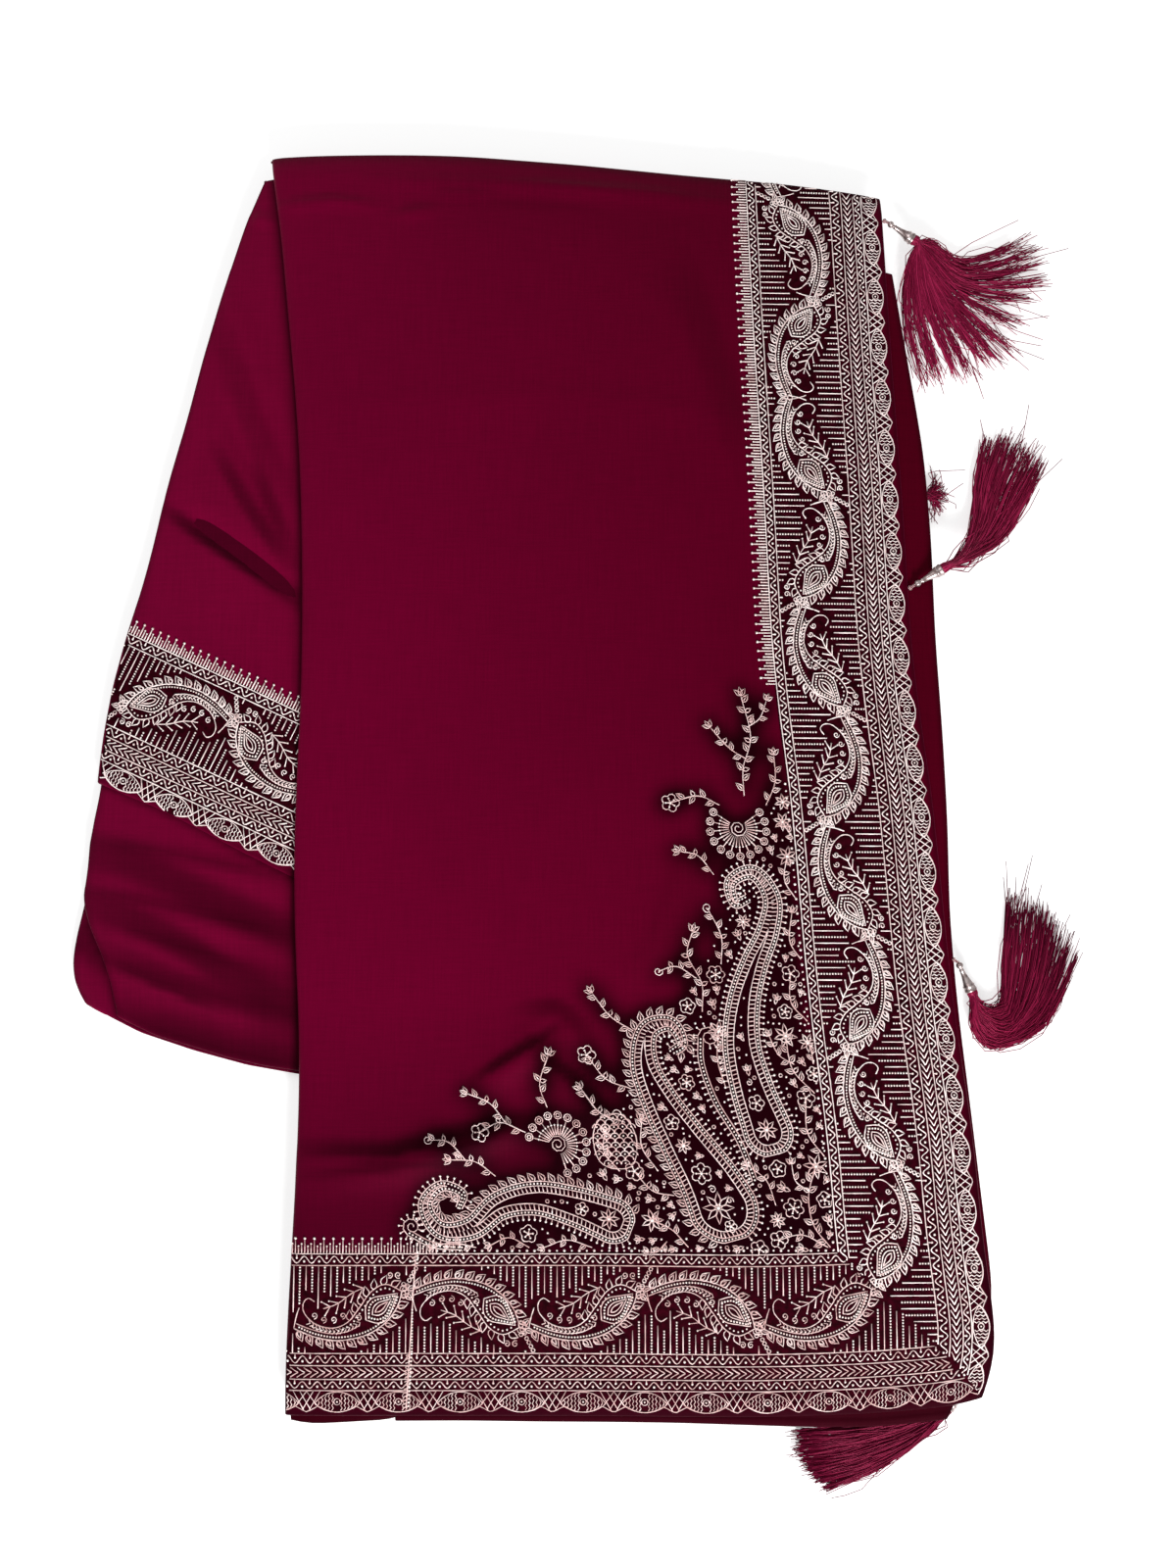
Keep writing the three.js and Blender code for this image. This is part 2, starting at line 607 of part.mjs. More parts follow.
function sidePile() {
  const plan = plyPlan({ ...lowerEdges, spanY: sideSpanY(lowerEdges) });
  return pileGeometry({ plan, top: sideBase, size: EXTENT.sidePile, plies: SIDE_PLIES, ...SIDE_RING });
}

// ---- The embroidered bands ----
// The outer edge of a band dips between its scallops, which are half circles flattened to `depth`.
function scallopDip(along) {
  const bulge = Math.abs(Math.sin((Math.PI * along) / SCALLOP.pitch)) ** SCALLOP.bend;
  return SCALLOP.depth * (1 - bulge);
}

// A band as a thin raised strip. place(share, across) gives its plan point: its share of the way
// along, and how far in from the cloth's hem. lift(x, y) gives the height of the cloth under it.
function bandGeometry({ scallops, width }, place, lift) {
  const steps = scallops * SCALLOP.steps;
  const rows = BAND.spans + 1;
  const points = [];
  for (let i = 0; i <= steps; i++) {
    const outer = BAND.hemMargin + scallopDip((SCALLOP.pitch * i) / SCALLOP.steps);
    for (const level of [1, 0]) {
      for (let row = 0; row < rows; row++) {
        const { x, y } = place(i / steps, lerp(outer, width, row / BAND.spans));
        points.push([x, y, lift(x, y) + BAND.gap + level * BAND.thick]);
      }
    }
  }
  const at = (i, level, row) => (2 * i + 1 - level) * rows + row;
  const triangles = [];
  const quad = (a, b, c, d) => triangles.push([a, b, c], [a, c, d]);
  for (let i = 0; i < steps; i++) {
    for (let row = 0; row < BAND.spans; row++) {
      quad(at(i, 1, row), at(i + 1, 1, row), at(i + 1, 1, row + 1), at(i, 1, row + 1));
      quad(at(i, 0, row), at(i, 0, row + 1), at(i + 1, 0, row + 1), at(i + 1, 0, row));
    }
    quad(at(i, 0, 0), at(i + 1, 0, 0), at(i + 1, 1, 0), at(i, 1, 0));
    quad(at(i, 0, rows - 1), at(i, 1, rows - 1), at(i + 1, 1, rows - 1), at(i + 1, 0, rows - 1));
  }
  for (let row = 0; row < BAND.spans; row++) {
    quad(at(0, 0, row), at(0, 1, row), at(0, 1, row + 1), at(0, 0, row + 1));
    quad(at(steps, 1, row), at(steps, 0, row), at(steps, 0, row + 1), at(steps, 1, row + 1));
  }
  return geometryFrom(points, triangles);
}

// Along the bottom hem, from the left fold to the tasselled end.
function hemBand() {
  const place = (share, across) => {
    const y = pallu.foot(lerp(HEM_BAND.from, HEM_BAND.to, share)) + across;
    return { x: lerp(pallu.fold(y) + BAND.endMargin, pallu.hem(y) - BAND.endMargin, share), y };
  };
  return bandGeometry(HEM_BAND, place, palluTop);
}

// Along the tasselled end, from the band of the hem up to the top fold.
function endBand() {
  const place = (share, across) => {
    const x = pallu.hem(lerp(END_BAND.from, END_BAND.to, share)) - across;
    const foot = pallu.foot(x) + HEM_BAND.width + 2 * BAND.gap;
    return { x, y: lerp(foot, pallu.top(x) - BAND.endMargin, share) };
  };
  return bandGeometry(END_BAND, place, palluTop);
}

// Along the hem of the upper side ply, from its left edge to the pallu's left fold.
function sideBand() {
  const { left, foot } = sideEdges("upper");
  const { from, to, inside } = SIDE_BAND;
  const square = Math.cos(Math.atan2(foot(to) - foot(from), to - from));
  const place = (share, across) => {
    const y = foot(lerp(from, to, share)) + across / square;
    return { x: lerp(left(y) + inside, pallu.fold(y) + TUCK / 2, share), y };
  };
  return bandGeometry(SIDE_BAND, place, sideTop(3));
}

// ---- The tassels ----
const vector = ({ x, y, z = 0 }) => new THREE.Vector3(x, y, z);

function solidFrom(geometry) {
  return new wasm.Manifold(
    new wasm.Mesh({
      numProp: 3,
      vertProperties: Float32Array.from(geometry.attributes.position.array),
      triVerts: Uint32Array.from(geometry.index.array),
    }),
  );
}

function geometryOf(solid) {
  const { vertProperties, triVerts } = solid.getMesh();
  const geometry = new THREE.BufferGeometry();
  geometry.setAttribute("position", new THREE.BufferAttribute(Float32Array.from(vertProperties), 3));
  geometry.setIndex(new THREE.BufferAttribute(Uint32Array.from(triVerts), 1));
  geometry.computeVertexNormals();
  return geometry;
}

// A closed tube through points, its radius running from `from` to `to`.
function tubeGeometry(points, { from, to, sides }) {
  const rings = points.map((point, i) => {
    const ahead = points[Math.min(i + 1, points.length - 1)];
    const behind = points[Math.max(i - 1, 0)];
    const tangent = ahead.clone().sub(behind).normalize();
    const side = new THREE.Vector3().crossVectors(new THREE.Vector3(0, 0, 1), tangent).normalize();
    const up = new THREE.Vector3().crossVectors(tangent, side);
    const radius = lerp(from, to, i / (points.length - 1));
    return Array.from({ length: sides }, (_, k) => {
      const angle = (2 * Math.PI * (k + 0.25)) / sides;
      return point
        .clone()
        .addScaledVector(side, radius * Math.cos(angle))
        .addScaledVector(up, radius * Math.sin(angle))
        .toArray();
    });
  });
  return ringGeometry(rings, points[0].toArray(), points.at(-1).toArray());
}

// One lock of thread: w, 0 to 1, is its place across the fan, and level, 0 or 1, its layer.
function lockPoints(root, guides, w, level) {
  const place = w * (guides.length - 1);
  const first = Math.min(Math.floor(place), guides.length - 2);
  const ends = guides[first].map((point, i) => {
    const other = guides[first + 1][i];
    const share = (i + 1) / guides[first].length;
    const low = FLOOR_CLEAR + LOCK.root + level * LOCK.layer;
    const z = lerp(root.z, low, Math.min(1, share * LOCK.drop));
    return new THREE.Vector3(
      lerp(point.x, other.x, place - first),
      lerp(point.y, other.y, place - first),
      z,
    );
  });
  const curve = new THREE.CatmullRomCurve3([vector(root), ...ends]);
  return curve.getSpacedPoints(LOCK.steps);
}

// A skirt of threads: a short round head, and locks that stand apart but for their roots in it.
function skirtGeometry({ root, axis, radius = HEAD.radius, locks, guides }) {
  const tip = vector(root).addScaledVector(axis, HEAD.length);
  const ends = { from: radius, to: radius * HEAD.taper, sides: HEAD.sides };
  const head = tubeGeometry([vector(root), tip], ends);
  const start = vector(root).addScaledVector(axis, HEAD.length / 2);
  const solids = [solidFrom(head)];
  for (let i = 0; i < locks; i++) {
    const points = lockPoints(start, guides, i / (locks - 1), i % 2);
    solids.push(solidFrom(tubeGeometry(points, { from: LOCK.root, to: LOCK.tip, sides: 3 })));
  }
  return geometryOf(wasm.Manifold.union(solids));
}

// The metal cap with the bead at its neck, turned about +Z from the bead to the mouth.
function capGeometry() {
  const profile = CAP.profile.map(({ radius, at }) => new THREE.Vector2(radius, at));
  return new THREE.LatheGeometry(profile, CAP.sides).rotateX(Math.PI / 2);
}

function named(name, geometry, color, { roughness = 0.75, metalness = 0 } = {}) {
  const mesh = new THREE.Mesh(geometry, new THREE.MeshStandardMaterial({ color, roughness, metalness }));
  mesh.name = name;
  return mesh;
}

// A tassel: the cord from the hem, the cap that it hangs by and the skirt of silk threads.
function tassel({ name, hem, cap, locks, guides }) {
  const from = vector(cap.from);
  const axis = vector(cap.to).sub(from).normalize();
  const cordEnd = from.clone().addScaledVector(axis, -SEAM_GAP);
  const cord = tubeGeometry([vector(hem), cordEnd], { from: CORD_RADIUS, to: CORD_RADIUS, sides: 6 });
  const capMesh = named(`${name}_cap`, capGeometry(), STEEL, { roughness: 0.35, metalness: 0.9 });
  capMesh.position.copy(from);
  capMesh.quaternion.setFromUnitVectors(new THREE.Vector3(0, 0, 1), axis);
  const root = from.clone().addScaledVector(axis, CAP.length + SEAM_GAP);
  const skirt = skirtGeometry({ root, axis, locks, guides });
  return [named(`${name}_cord`, cord, THREAD), capMesh, named(`${name}_skirt`, skirt, SILK)];
}

function tuckedTassel({ name, root, towards, radius, locks, guides }) {
  const axis = vector(towards).normalize();
  return named(name, skirtGeometry({ root, axis, radius, locks, guides }), SILK);
}

// ---- The sari ----
const sari = new THREE.Group();
sari.add(
  named("hidden_pile", hiddenPile(), DEEP_WINE),
  named("side_pile", sidePile(), DEEP_WINE),
  named("side_lower_ply", sidePly("lower", 1, [], SIDE_ZONES.lower), WINE),
  named("side_middle_ply", sidePly("middle", 2, PLEATS, SIDE_ZONES.middle), WINE),
  named("side_upper_ply", sidePly("upper", 3, SIDE_CREASES, SIDE_ZONES.upper), WINE),
  named("pallu_back", palluBack(), DEEP_WINE),
  named("pallu_front", palluFront(), WINE),
  named("pallu_end_band", endBand(), THREAD),
  named("pallu_hem_band", hemBand(), THREAD),
  named("side_hem_band", sideBand(), THREAD),
  ...TASSELS.flatMap(tassel),
  tuckedTassel(HIDDEN_TASSEL),
);

export default sari;
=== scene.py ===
"""The looks of a folded saree: thin cloth on its plies, layered edges, zari work, metal caps and silk.

Lengths and places are millimetres in the part's own frame until a mesh is made of them.
"""
import math

import bpy
import numpy as np
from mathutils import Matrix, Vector
from mathutils.bvhtree import BVHTree


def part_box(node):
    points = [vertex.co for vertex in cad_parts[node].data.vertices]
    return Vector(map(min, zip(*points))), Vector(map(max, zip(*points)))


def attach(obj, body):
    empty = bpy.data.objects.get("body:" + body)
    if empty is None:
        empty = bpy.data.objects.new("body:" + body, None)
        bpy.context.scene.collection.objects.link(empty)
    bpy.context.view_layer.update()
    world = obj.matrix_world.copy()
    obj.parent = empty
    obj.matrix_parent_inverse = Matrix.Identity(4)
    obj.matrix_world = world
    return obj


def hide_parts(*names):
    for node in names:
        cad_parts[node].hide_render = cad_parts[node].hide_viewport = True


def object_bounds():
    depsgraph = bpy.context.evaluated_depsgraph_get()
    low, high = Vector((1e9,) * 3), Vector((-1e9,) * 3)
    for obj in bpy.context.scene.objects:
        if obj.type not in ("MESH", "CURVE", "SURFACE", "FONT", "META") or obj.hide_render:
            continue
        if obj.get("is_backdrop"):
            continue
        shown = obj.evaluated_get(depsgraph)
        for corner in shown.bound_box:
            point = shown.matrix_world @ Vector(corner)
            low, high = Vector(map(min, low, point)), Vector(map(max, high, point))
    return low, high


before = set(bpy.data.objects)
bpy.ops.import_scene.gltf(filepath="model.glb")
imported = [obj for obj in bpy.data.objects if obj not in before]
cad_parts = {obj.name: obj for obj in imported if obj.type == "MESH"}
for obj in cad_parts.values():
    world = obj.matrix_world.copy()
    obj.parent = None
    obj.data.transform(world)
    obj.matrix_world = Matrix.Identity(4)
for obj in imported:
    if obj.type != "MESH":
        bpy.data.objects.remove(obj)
cad_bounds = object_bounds()

MM = 0.001  # metres in a millimetre
RANDOM = np.random.default_rng(23)

# ---- Sizes ----
CLOTH = 0.8  # thickness of the modelled cloth
FOLD_RADIUS = {"pallu": 1.5, "side": 0.8}  # where a ply turns under itself
TUCKED = 7.0  # how far the turned cloth is modelled
HEM = {"width": 3.2, "height": 0.22, "droop": 0.9, "reach": 9.0}  # stitched hem, and its sag
GRID = {"pallu": 2.4, "side": 2.6, "under": 5.0}
THREAD = {"width": 0.66, "height": 0.45, "sink": 0.15, "uneven": 0.18}
# How heavy the thread is in the rows of a border, on its outer edge, at its join and in the corner.
WEIGHTS = {"rows": 0.86, "edge": 0.74, "join": 1.0, "corner": 0.9}
DOT = 0.52  # radius of a knot
DOME = {"rim": 0.12, "height": 0.3, "swell": 0.65}  # a bead's rim and top over the cloth
GROUND = {"lift": 0.28, "thick": 0.5}  # the dense stitching under a border

# The rows of the border, as depths from the tips of its scallops, on the hem and on the end.
HEM_ROWS = {"scallop": 8.6, "wave": 13.1, "chevron": 18.6, "vine": 23.5, "guard": 58.9, "inner": 63.6,
            "comb": 69.8}
END_ROWS = {"scallop": 7.5, "wave": 11.2, "chevron": 16.7, "vine": 21.8, "guard": 55.4, "inner": 59.6,
            "comb": 66.1}
HEM_MARGIN = 1.4  # the cloth outside the scallops, on the hems
END_MARGIN = 1.8  # the same on the end
VINE = {"length": 49.3, "width": 35.4}  # the box that one paisley is drawn in
# The outer edge, its widths as shares of the pitch of its eyes: how deep it is cut, how far the valley
# beside an eye is from its middle, half the length of an eye, and how deep an eye's ends lie.
SCALLOP = {"cut": 2.5, "valley": 0.3, "half": 0.37, "ends": 3.4}
# The upright lines about the vine: their pitch, the longest and the shortest, what stays clear of the
# vine, and the cell in which the room for them is counted.
HATCH = {"pitch": 2.6, "longest": 21.0, "least": 1.6, "gap": 0.6, "cell": 0.5}

# How far a ply bends down at an edge where the whole pile turns: from how far in, and how much.
PALLU_ROLLS = {"head": {"reach": 13.0, "depth": 2.4}, "left": {"reach": 7.0, "depth": 1.2}}
SIDE_ROLLS = {"left": {"reach": 6.0, "depth": 0.8}}

# Creases: the run of the steep side, a list of places, then the height, below 0 for a dip, and the
# width on the right and on the left of the run. The crest lies on the wider side.
PALLU_CREASES = [
    ([(-62, -142), (-47, -132), (-33, -123.5)], 3.2, 8, 3.2),
    ([(-38, -117), (-28, -111.5), (-14, -127)], 1.8, 7, 4),
    ([(-34, -130), (-14, -149), (2, -168)], 3.7, 8, 3.4),
    ([(-101, -174), (-66, -166), (-38, -157)], 3.2, 7, 3.2),
    ([(-138, -172), (-100, -170), (-66, -161)], 1.9, 9, 5),
    ([(-128, -181), (-68, -174.5)], 1.3, 6, 3.5),
    ([(26, 222), (45, 166), (58, 122)], 1.9, 12, 7),
    ([(34, -40), (15, -88), (0, -106)], 1.4, 12, 7),
    ([(-12, 254), (-12, 30)], 0.24, 3, 3.2),
    ([(-140, 158), (-20, 162), (70, 150)], 0.4, 8, 5),
    ([(-154, 250), (-130, 251.5), (-111, 250)], 1.6, 3.4, 1.6),
    ([(-101, 245), (-86, 247)], 1.3, 3, 1.5),
    ([(-84, 255), (-58, 254)], 1.3, 3, 1.5),
    ([(-45, 260), (10, 256), (60, 250)], 0.96, 5, 2.6),
    ([(-112, 262), (-40, 260), (20, 256)], 0.8, 4, 2.2),
]
SIDE_CREASES = [
    ([(-197, 105), (-168, 84), (-141, 62)], -4, 3.2, 6),
    ([(-182, 155), (-161, 114), (-144, 84)], -1.8, 3.5, 6),
    ([(-176, 190), (-158, 142), (-143, 110)], -1.3, 3.5, 6),
    ([(-168, 247), (-156, 244.5)], 1.3, 3, 2),
    ([(-214, 66), (-180, 44), (-143, 20)], 0.96, 9, 7),
    ([(-176, 216), (-160, 172), (-146, 150)], 1.1, 7, 5),
]
MIDDLE_PLEATS = [
    ([(-234, -38), (-190, -47), (-141, -58)], 3, 9, 3.6),
    ([(-236, -60), (-190, -70), (-141, -83)], 3, 8, 3.4),
    ([(-228, -75), (-185, -87), (-141, -100)], 2.4, 7, 3.2),
    ([(-222, -90), (-190, -102), (-146, -116)], 2.2, 7, 3),
    ([(-224, -88), (-217, -114)], 1.9, 5, 3),
]
LOWER_PLEATS = [([(-238, -84), (-228, -98), (-220, -114)], 0.96, 5, 3)]

# Painted shade in the cloth's creases, pleats and folds: a run, how dark, and how far it reaches on its right
# and its left.
PALLU_SHADES = [
    ([(-62, -141.4), (-51, -134.8), (-36, -126.2), (-28, -120)], 0.56, 1.5, 2.8),
    ([(-46, -112), (-31, -110), (-24, -112.5), (-13, -124)], 0.34, 4.5, 2.6),
    ([(-36, -132.4), (-22, -140), (-9, -156), (2, -168)], 0.66, 3.2, 3.4),
    ([(-134, -171.6), (-108, -172.6), (-97, -172.4), (-85, -169.2), (-69, -164.4), (-34, -156.6)],
     0.6, 1.3, 5.2),
    ([(-132, -182), (-108, -179.7), (-81, -176.9), (-52, -176)], 0.34, 1.2, 2.4),
    ([(-108, -172), (-60, -170), (-20, -172)], 0.22, 10, 5),
    ([(26, 222), (45, 166), (58, 122)], 0.16, 10, 8),
    ([(34, -40), (15, -88), (2, -106)], 0.2, 9, 8),
    ([(-96, 249), (-60, 250), (-10, 247)], 0.16, 3, 2),
]
SIDE_SHADES = [
    ([(-204, 109), (-188, 97), (-172, 86), (-141, 67)], 0.72, 3.4, 3.4),
    ([(-182, 136), (-167, 110), (-154, 91), (-147, 82)], 0.5, 3.0, 4.2),
    ([(-164, 128), (-155, 108), (-148, 92)], 0.4, 3.0, 3.4),
    ([(-184, 200), (-166, 150), (-152, 116)], 0.2, 6, 6),
]
MIDDLE_SHADES = [
    ([(-244, -44), (-230, -45.6), (-215, -49), (-200, -55), (-176, -66), (-156, -75), (-128, -89)],
     0.56, 8, 8),
    ([(-244, -65), (-232, -67), (-214, -72.5), (-200, -79), (-187, -86), (-172, -96), (-128, -117)],
     0.54, 6.4, 6.4),
    ([(-230, -85), (-205, -94), (-188, -101), (-165, -109), (-136, -119)], 0.36, 5.4, 4.6),
    ([(-223, -93), (-202, -101.6), (-188, -107.4), (-172, -114)], 0.46, 1.0, 3.4),
    ([(-232, -122), (-180, -136), (-126, -152)], 0.68, 40, 18),
    ([(-150, -90), (-146, -110), (-142, -150)], 0.24, 14, 14),
]
LOWER_SHADES = [
    ([(-240, -80), (-230, -84), (-218, -96)], 0.5, 7, 9),
    ([(-236, -124), (-210, -132)], 0.5, 12, 5),
]
# Painted shade where the cloth gets darker towards an edge: which one, from how far in, and how much.
# An amount below 0 paints a highlight along that edge instead.
PALLU_DIMS = [("head", 5.0, 0.4), ("foot", 170.0, 0.72), ("foot", 3.6, 0.5), ("right", 3.6, 0.5)]
BACK_DIMS = [("foot", 16.0, 0.75), ("right", 2.4, 0.4)]
SIDE_DIMS = {
    "upper": [("left", 1.4, 0.45), ("foot", 0.9, -0.5), ("foot", 5.5, 0.5)],
    "middle": [("left", 1.4, 0.45), ("foot", 0.9, -0.5), ("foot", 110.0, 0.2)],
    "lower": [("left", 1.4, 0.45), ("foot", 0.9, -0.5), ("foot", 60.0, 0.2)],
}
# Painted shadow where a ply goes in under another: beside the fold of the panel, and the edge of the side ply
# above.
TOUCHING = {"reach": 3.4, "dark": 0.6}  # beside the fold of the panel
UNDER = {"reach": 2.2, "dark": 0.62}  # beside the edge of the side ply above
# Painted shade on the cloth among dense stitching.
WORKED = {"cell": 2.0, "passes": 5, "dark": 0.92, "share": 2.0}  # among dense stitching

# The hidden plies: how many show at the edge, how deep the line between two is, how uneven they are,
# and how far apart the points of their outline lie.
PILE = {"plies": 10, "groove": 0.9, "uneven": 0.7, "step": 4.5}
# Painted shade on the hidden plies, darker towards their foot.
PILE_DIM = {"reach": 16.0, "dark": 0.75}  # how much darker they are at the foot
SIDE_PILE = {"plies": 3, "groove": 0.8, "uneven": 0.5, "step": 4.5}
# Under the left of the hem the hidden plies come out further: how much, and between which places.
PILE_STEP = {"foot": 3.4, "x": [-96.0, -80.0], "left": 3.4, "y": [-272.0, -258.0]}

# The tassels: where the cord leaves the hem, where the cap begins and ends, and the paths that the
# threads lie between, from root to tip; then in how many clumps they gather, the share of stray ones,
# how much of its path a thread runs, in the mean and its spread, and the threads' tones and number.
TASSELS = {
    "tassel_top": {
        "hem": (119.6, 242.4, 13.4),
        "cap": ((121.4, 241.4, 13.6), (133.8, 235.0, 9.0)),
        "guides": [
            [(142, 236), (153, 229), (165, 231), (183, 240)],
            [(141, 231), (154, 219), (172, 218), (193, 222)],
            [(139, 227), (149, 212), (162, 200), (177, 186)],
            [(137, 225), (142, 208), (149, 192), (156, 176)],
            [(131, 226), (128, 208), (129.5, 190), (134, 172)],
        ],
        "clumps": 13, "stray": 0.16, "reach": (0.96, 0.08),
        "tones": (0.35, 1.0),
        "threads": 640,
    },
    "tassel_middle": {
        "hem": (126.9, 71.4, 13.2),
        "cap": ((128.8, 72.4, 14.2), (141.4, 79.6, 15.8)),
        "guides": [
            [(151, 88), (157, 104), (159, 124), (163, 144)],
            [(153, 87), (163, 104), (170, 124), (179, 144)],
            [(154, 85), (170, 95), (182, 111), (193, 131)],
        ],
        "clumps": 10, "stray": 0.06, "reach": (0.93, 0.05),
        "tones": (0.3, 1.0),
        "threads": 520,
    },
    "tassel_lower": {
        "hem": (141.6, -91.6, 10.6),
        "cap": ((143.6, -92.8, 10.6), (149.6, -105.2, 7.4)),
        "guides": [
            [(155, -112), (163, -110), (165, -90), (168, -64)],
            [(154, -116), (167, -121), (177, -104), (184, -70)],
            [(150.5, -120), (158, -129), (182, -120), (198, -90)],
        ],
        "clumps": 11, "stray": 0.06, "reach": (0.95, 0.04),
        "tones": (0.05, 0.75),
        "threads": 620,
    },
    "tassel_hem": {
        "hem": (145.4, -265.4, 7.0),
        "cap": ((143.8, -267.2, 6.4), (134.8, -277.4, 4.6)),
        "guides": [
            [(127, -280), (112, -283), (94, -285), (71, -286.5)],
            [(127, -284), (112, -291), (94, -297), (75, -300)],
            [(127.5, -286), (117, -295), (103, -303), (83, -310.5)],
        ],
        "clumps": 12, "stray": 0.02, "reach": (0.97, 0.03),
        "tones": (0.0, 0.3),
        "threads": 620,
    },
}
TUCKED_TASSEL = {
    "root": (133.6, 116.0, 4.6),
    "towards": (1.0, 0.02, 0.0),
    "guides": [
        [(138.6, 119.5), (140.4, 124), (140.6, 128.4)],
        [(140, 116.8), (143.4, 116.4), (147, 115.6)],
        [(139, 114), (140.2, 109.6), (140.4, 105)],
    ],
    "clumps": 6, "stray": 0.1, "reach": (0.97, 0.09),
    "tones": (0.1, 0.8),
    "threads": 110,
}
CAP_LENGTH = 13.5
CAP_OVERLAP = 0.6  # how far the silk begins inside the cap's mouth
SILK = {"radius": 0.24, "floor": 0.5, "rise": 4.6, "steps": 12, "gather": 0.55, "spread": 1.9}
GAPS = {"back": 0.9, "pallu": 2.6, "side": 0.6}  # between a ply and the hidden ones under it

# The camera of the photograph: where it stands, and the point that it looks at.
CAMERA = {"from": (-15.0, -123.5, 760.1), "to": (-15.0, -14.0, 0.0), "lens": 40.0, "sensor": 36.0}
# In metres: how far the floor reaches and how high it is, and where each lamp stands and how wide it
# is. A lamp's power is in watts. AMBIENT is the strength of the light from all around.
FLOOR = {"reach": 4.0, "level": -0.0004}
LAMPS = {
    "key": {"place": (0.32, -1.2, 0.74), "size": 0.32, "power": 27.0},
    "fill": {"place": (-0.7, 0.4, 1.4), "size": 1.0, "power": 6.0},
}
AMBIENT = 0.42


# ---- Small helpers ----
def unit(vectors):
    """Vectors made one long."""
    return vectors / np.maximum(np.linalg.norm(vectors, axis=-1, keepdims=True), 1e-9)


def lerp(a, b, share):
    return a + (b - a) * share


def smoothed(values, passes):
    """A row of values with its jogs taken out, its two ends kept."""
    values = np.array(values, float)
    for _ in range(passes):
        values[1:-1] = (values[:-2] + 2 * values[1:-1] + values[2:]) / 4
    return values


def left_of(way):
    """Directions of the plan, turned a quarter to the left."""
    return np.stack([-way[..., 1], way[..., 0]], -1)


def polar(angle):
    """The direction of an angle in radians, or of each of a row of them."""
    return np.stack([np.cos(angle), np.sin(angle)], -1)


def angle_of(way):
    """The angle of a direction, in radians."""
    return math.atan2(way[1], way[0])


def square_to(axis):
    """Two directions square to an axis and to each other: a level one, and one that rises."""
    side = unit(np.cross(axis, (0.0, 0.0, 1.0)))
    return side, np.cross(side, axis)


def between_knots(a, b, c, d, t):
    """The place at the share t from b to c, on a smooth line through a, b, c and d."""
    bend = 2 * a - 5 * b + 4 * c - d
    turn = 3 * b - a - 3 * c + d
    return b + 0.5 * ((c - a) * t + bend * t**2 + turn * t**3)


def spline(points, step=1.2, closed=False):
    """A smooth line through points, with a point at least every `step`."""
    p = np.asarray(points, float)
    if closed:
        p = np.concatenate([p[-1:], p, p[:2]])
    else:
        p = np.concatenate([2 * p[:1] - p[1:2], p, 2 * p[-1:] - p[-2:-1]])
    runs = []
    for a, b, c, d in zip(p[:-3], p[1:-2], p[2:-1], p[3:]):
        count = max(1, math.ceil(np.linalg.norm(c - b) / step))
        runs.append(between_knots(a, b, c, d, np.arange(count)[:, None] / count))
    return np.concatenate(runs + [p[-2:-1]])


def run_of(line):
    """How far along a line each of its points is."""
    return np.concatenate([[0], np.cumsum(np.linalg.norm(np.diff(line, axis=0), axis=1))])


def along(line, pitch, start=0.0, end=0.0):
    """Points every `pitch` along a line, and the line's direction at each."""
    run = run_of(line)
    at = np.arange(start, run[-1] - end + 1e-6, pitch)
    places = lambda where: np.stack([np.interp(where, run, column) for column in line.T], -1)
    return places(at), unit(places(at + 0.4) - places(at - 0.4))


def beside(line, distance):
    """A line moved sideways, to its left where distance is above 0."""
    return line + left_of(unit(np.gradient(line, axis=0))) * np.reshape(distance, (-1, 1))


def sampled(grid, row, column):
    """What a grid of values is at places between its rows and columns."""
    row = np.clip(row, 0, grid.shape[0] - 1.001)
    column = np.clip(column, 0, grid.shape[1] - 1.001)
    i, j = row.astype(int), column.astype(int)
    near = lerp(grid[i, j], grid[i, j + 1], column - j)
    far = lerp(grid[i + 1, j], grid[i + 1, j + 1], column - j)
    return lerp(near, far, row - i)


def dimmer(inset, reach, dark):
    """The share of its brightness that cloth keeps under painted shade so far inside an edge, and 1 - dark at
    the edge.
    """
    return 1 - dark * np.clip(1.3 * (1 - inset / reach), 0, 1)


# ---- Meshes ----
def grid_faces(rows, columns, closed=False):
    """The quads of a grid of points, row by row."""
    index = np.arange(rows * columns).reshape(rows, columns)
    if closed:
        index = np.concatenate([index, index[:, :1]], axis=1)
    corners = [index[:-1, :-1], index[:-1, 1:], index[1:, 1:], index[1:, :-1]]
    return np.stack(corners, -1).reshape(-1, 4)


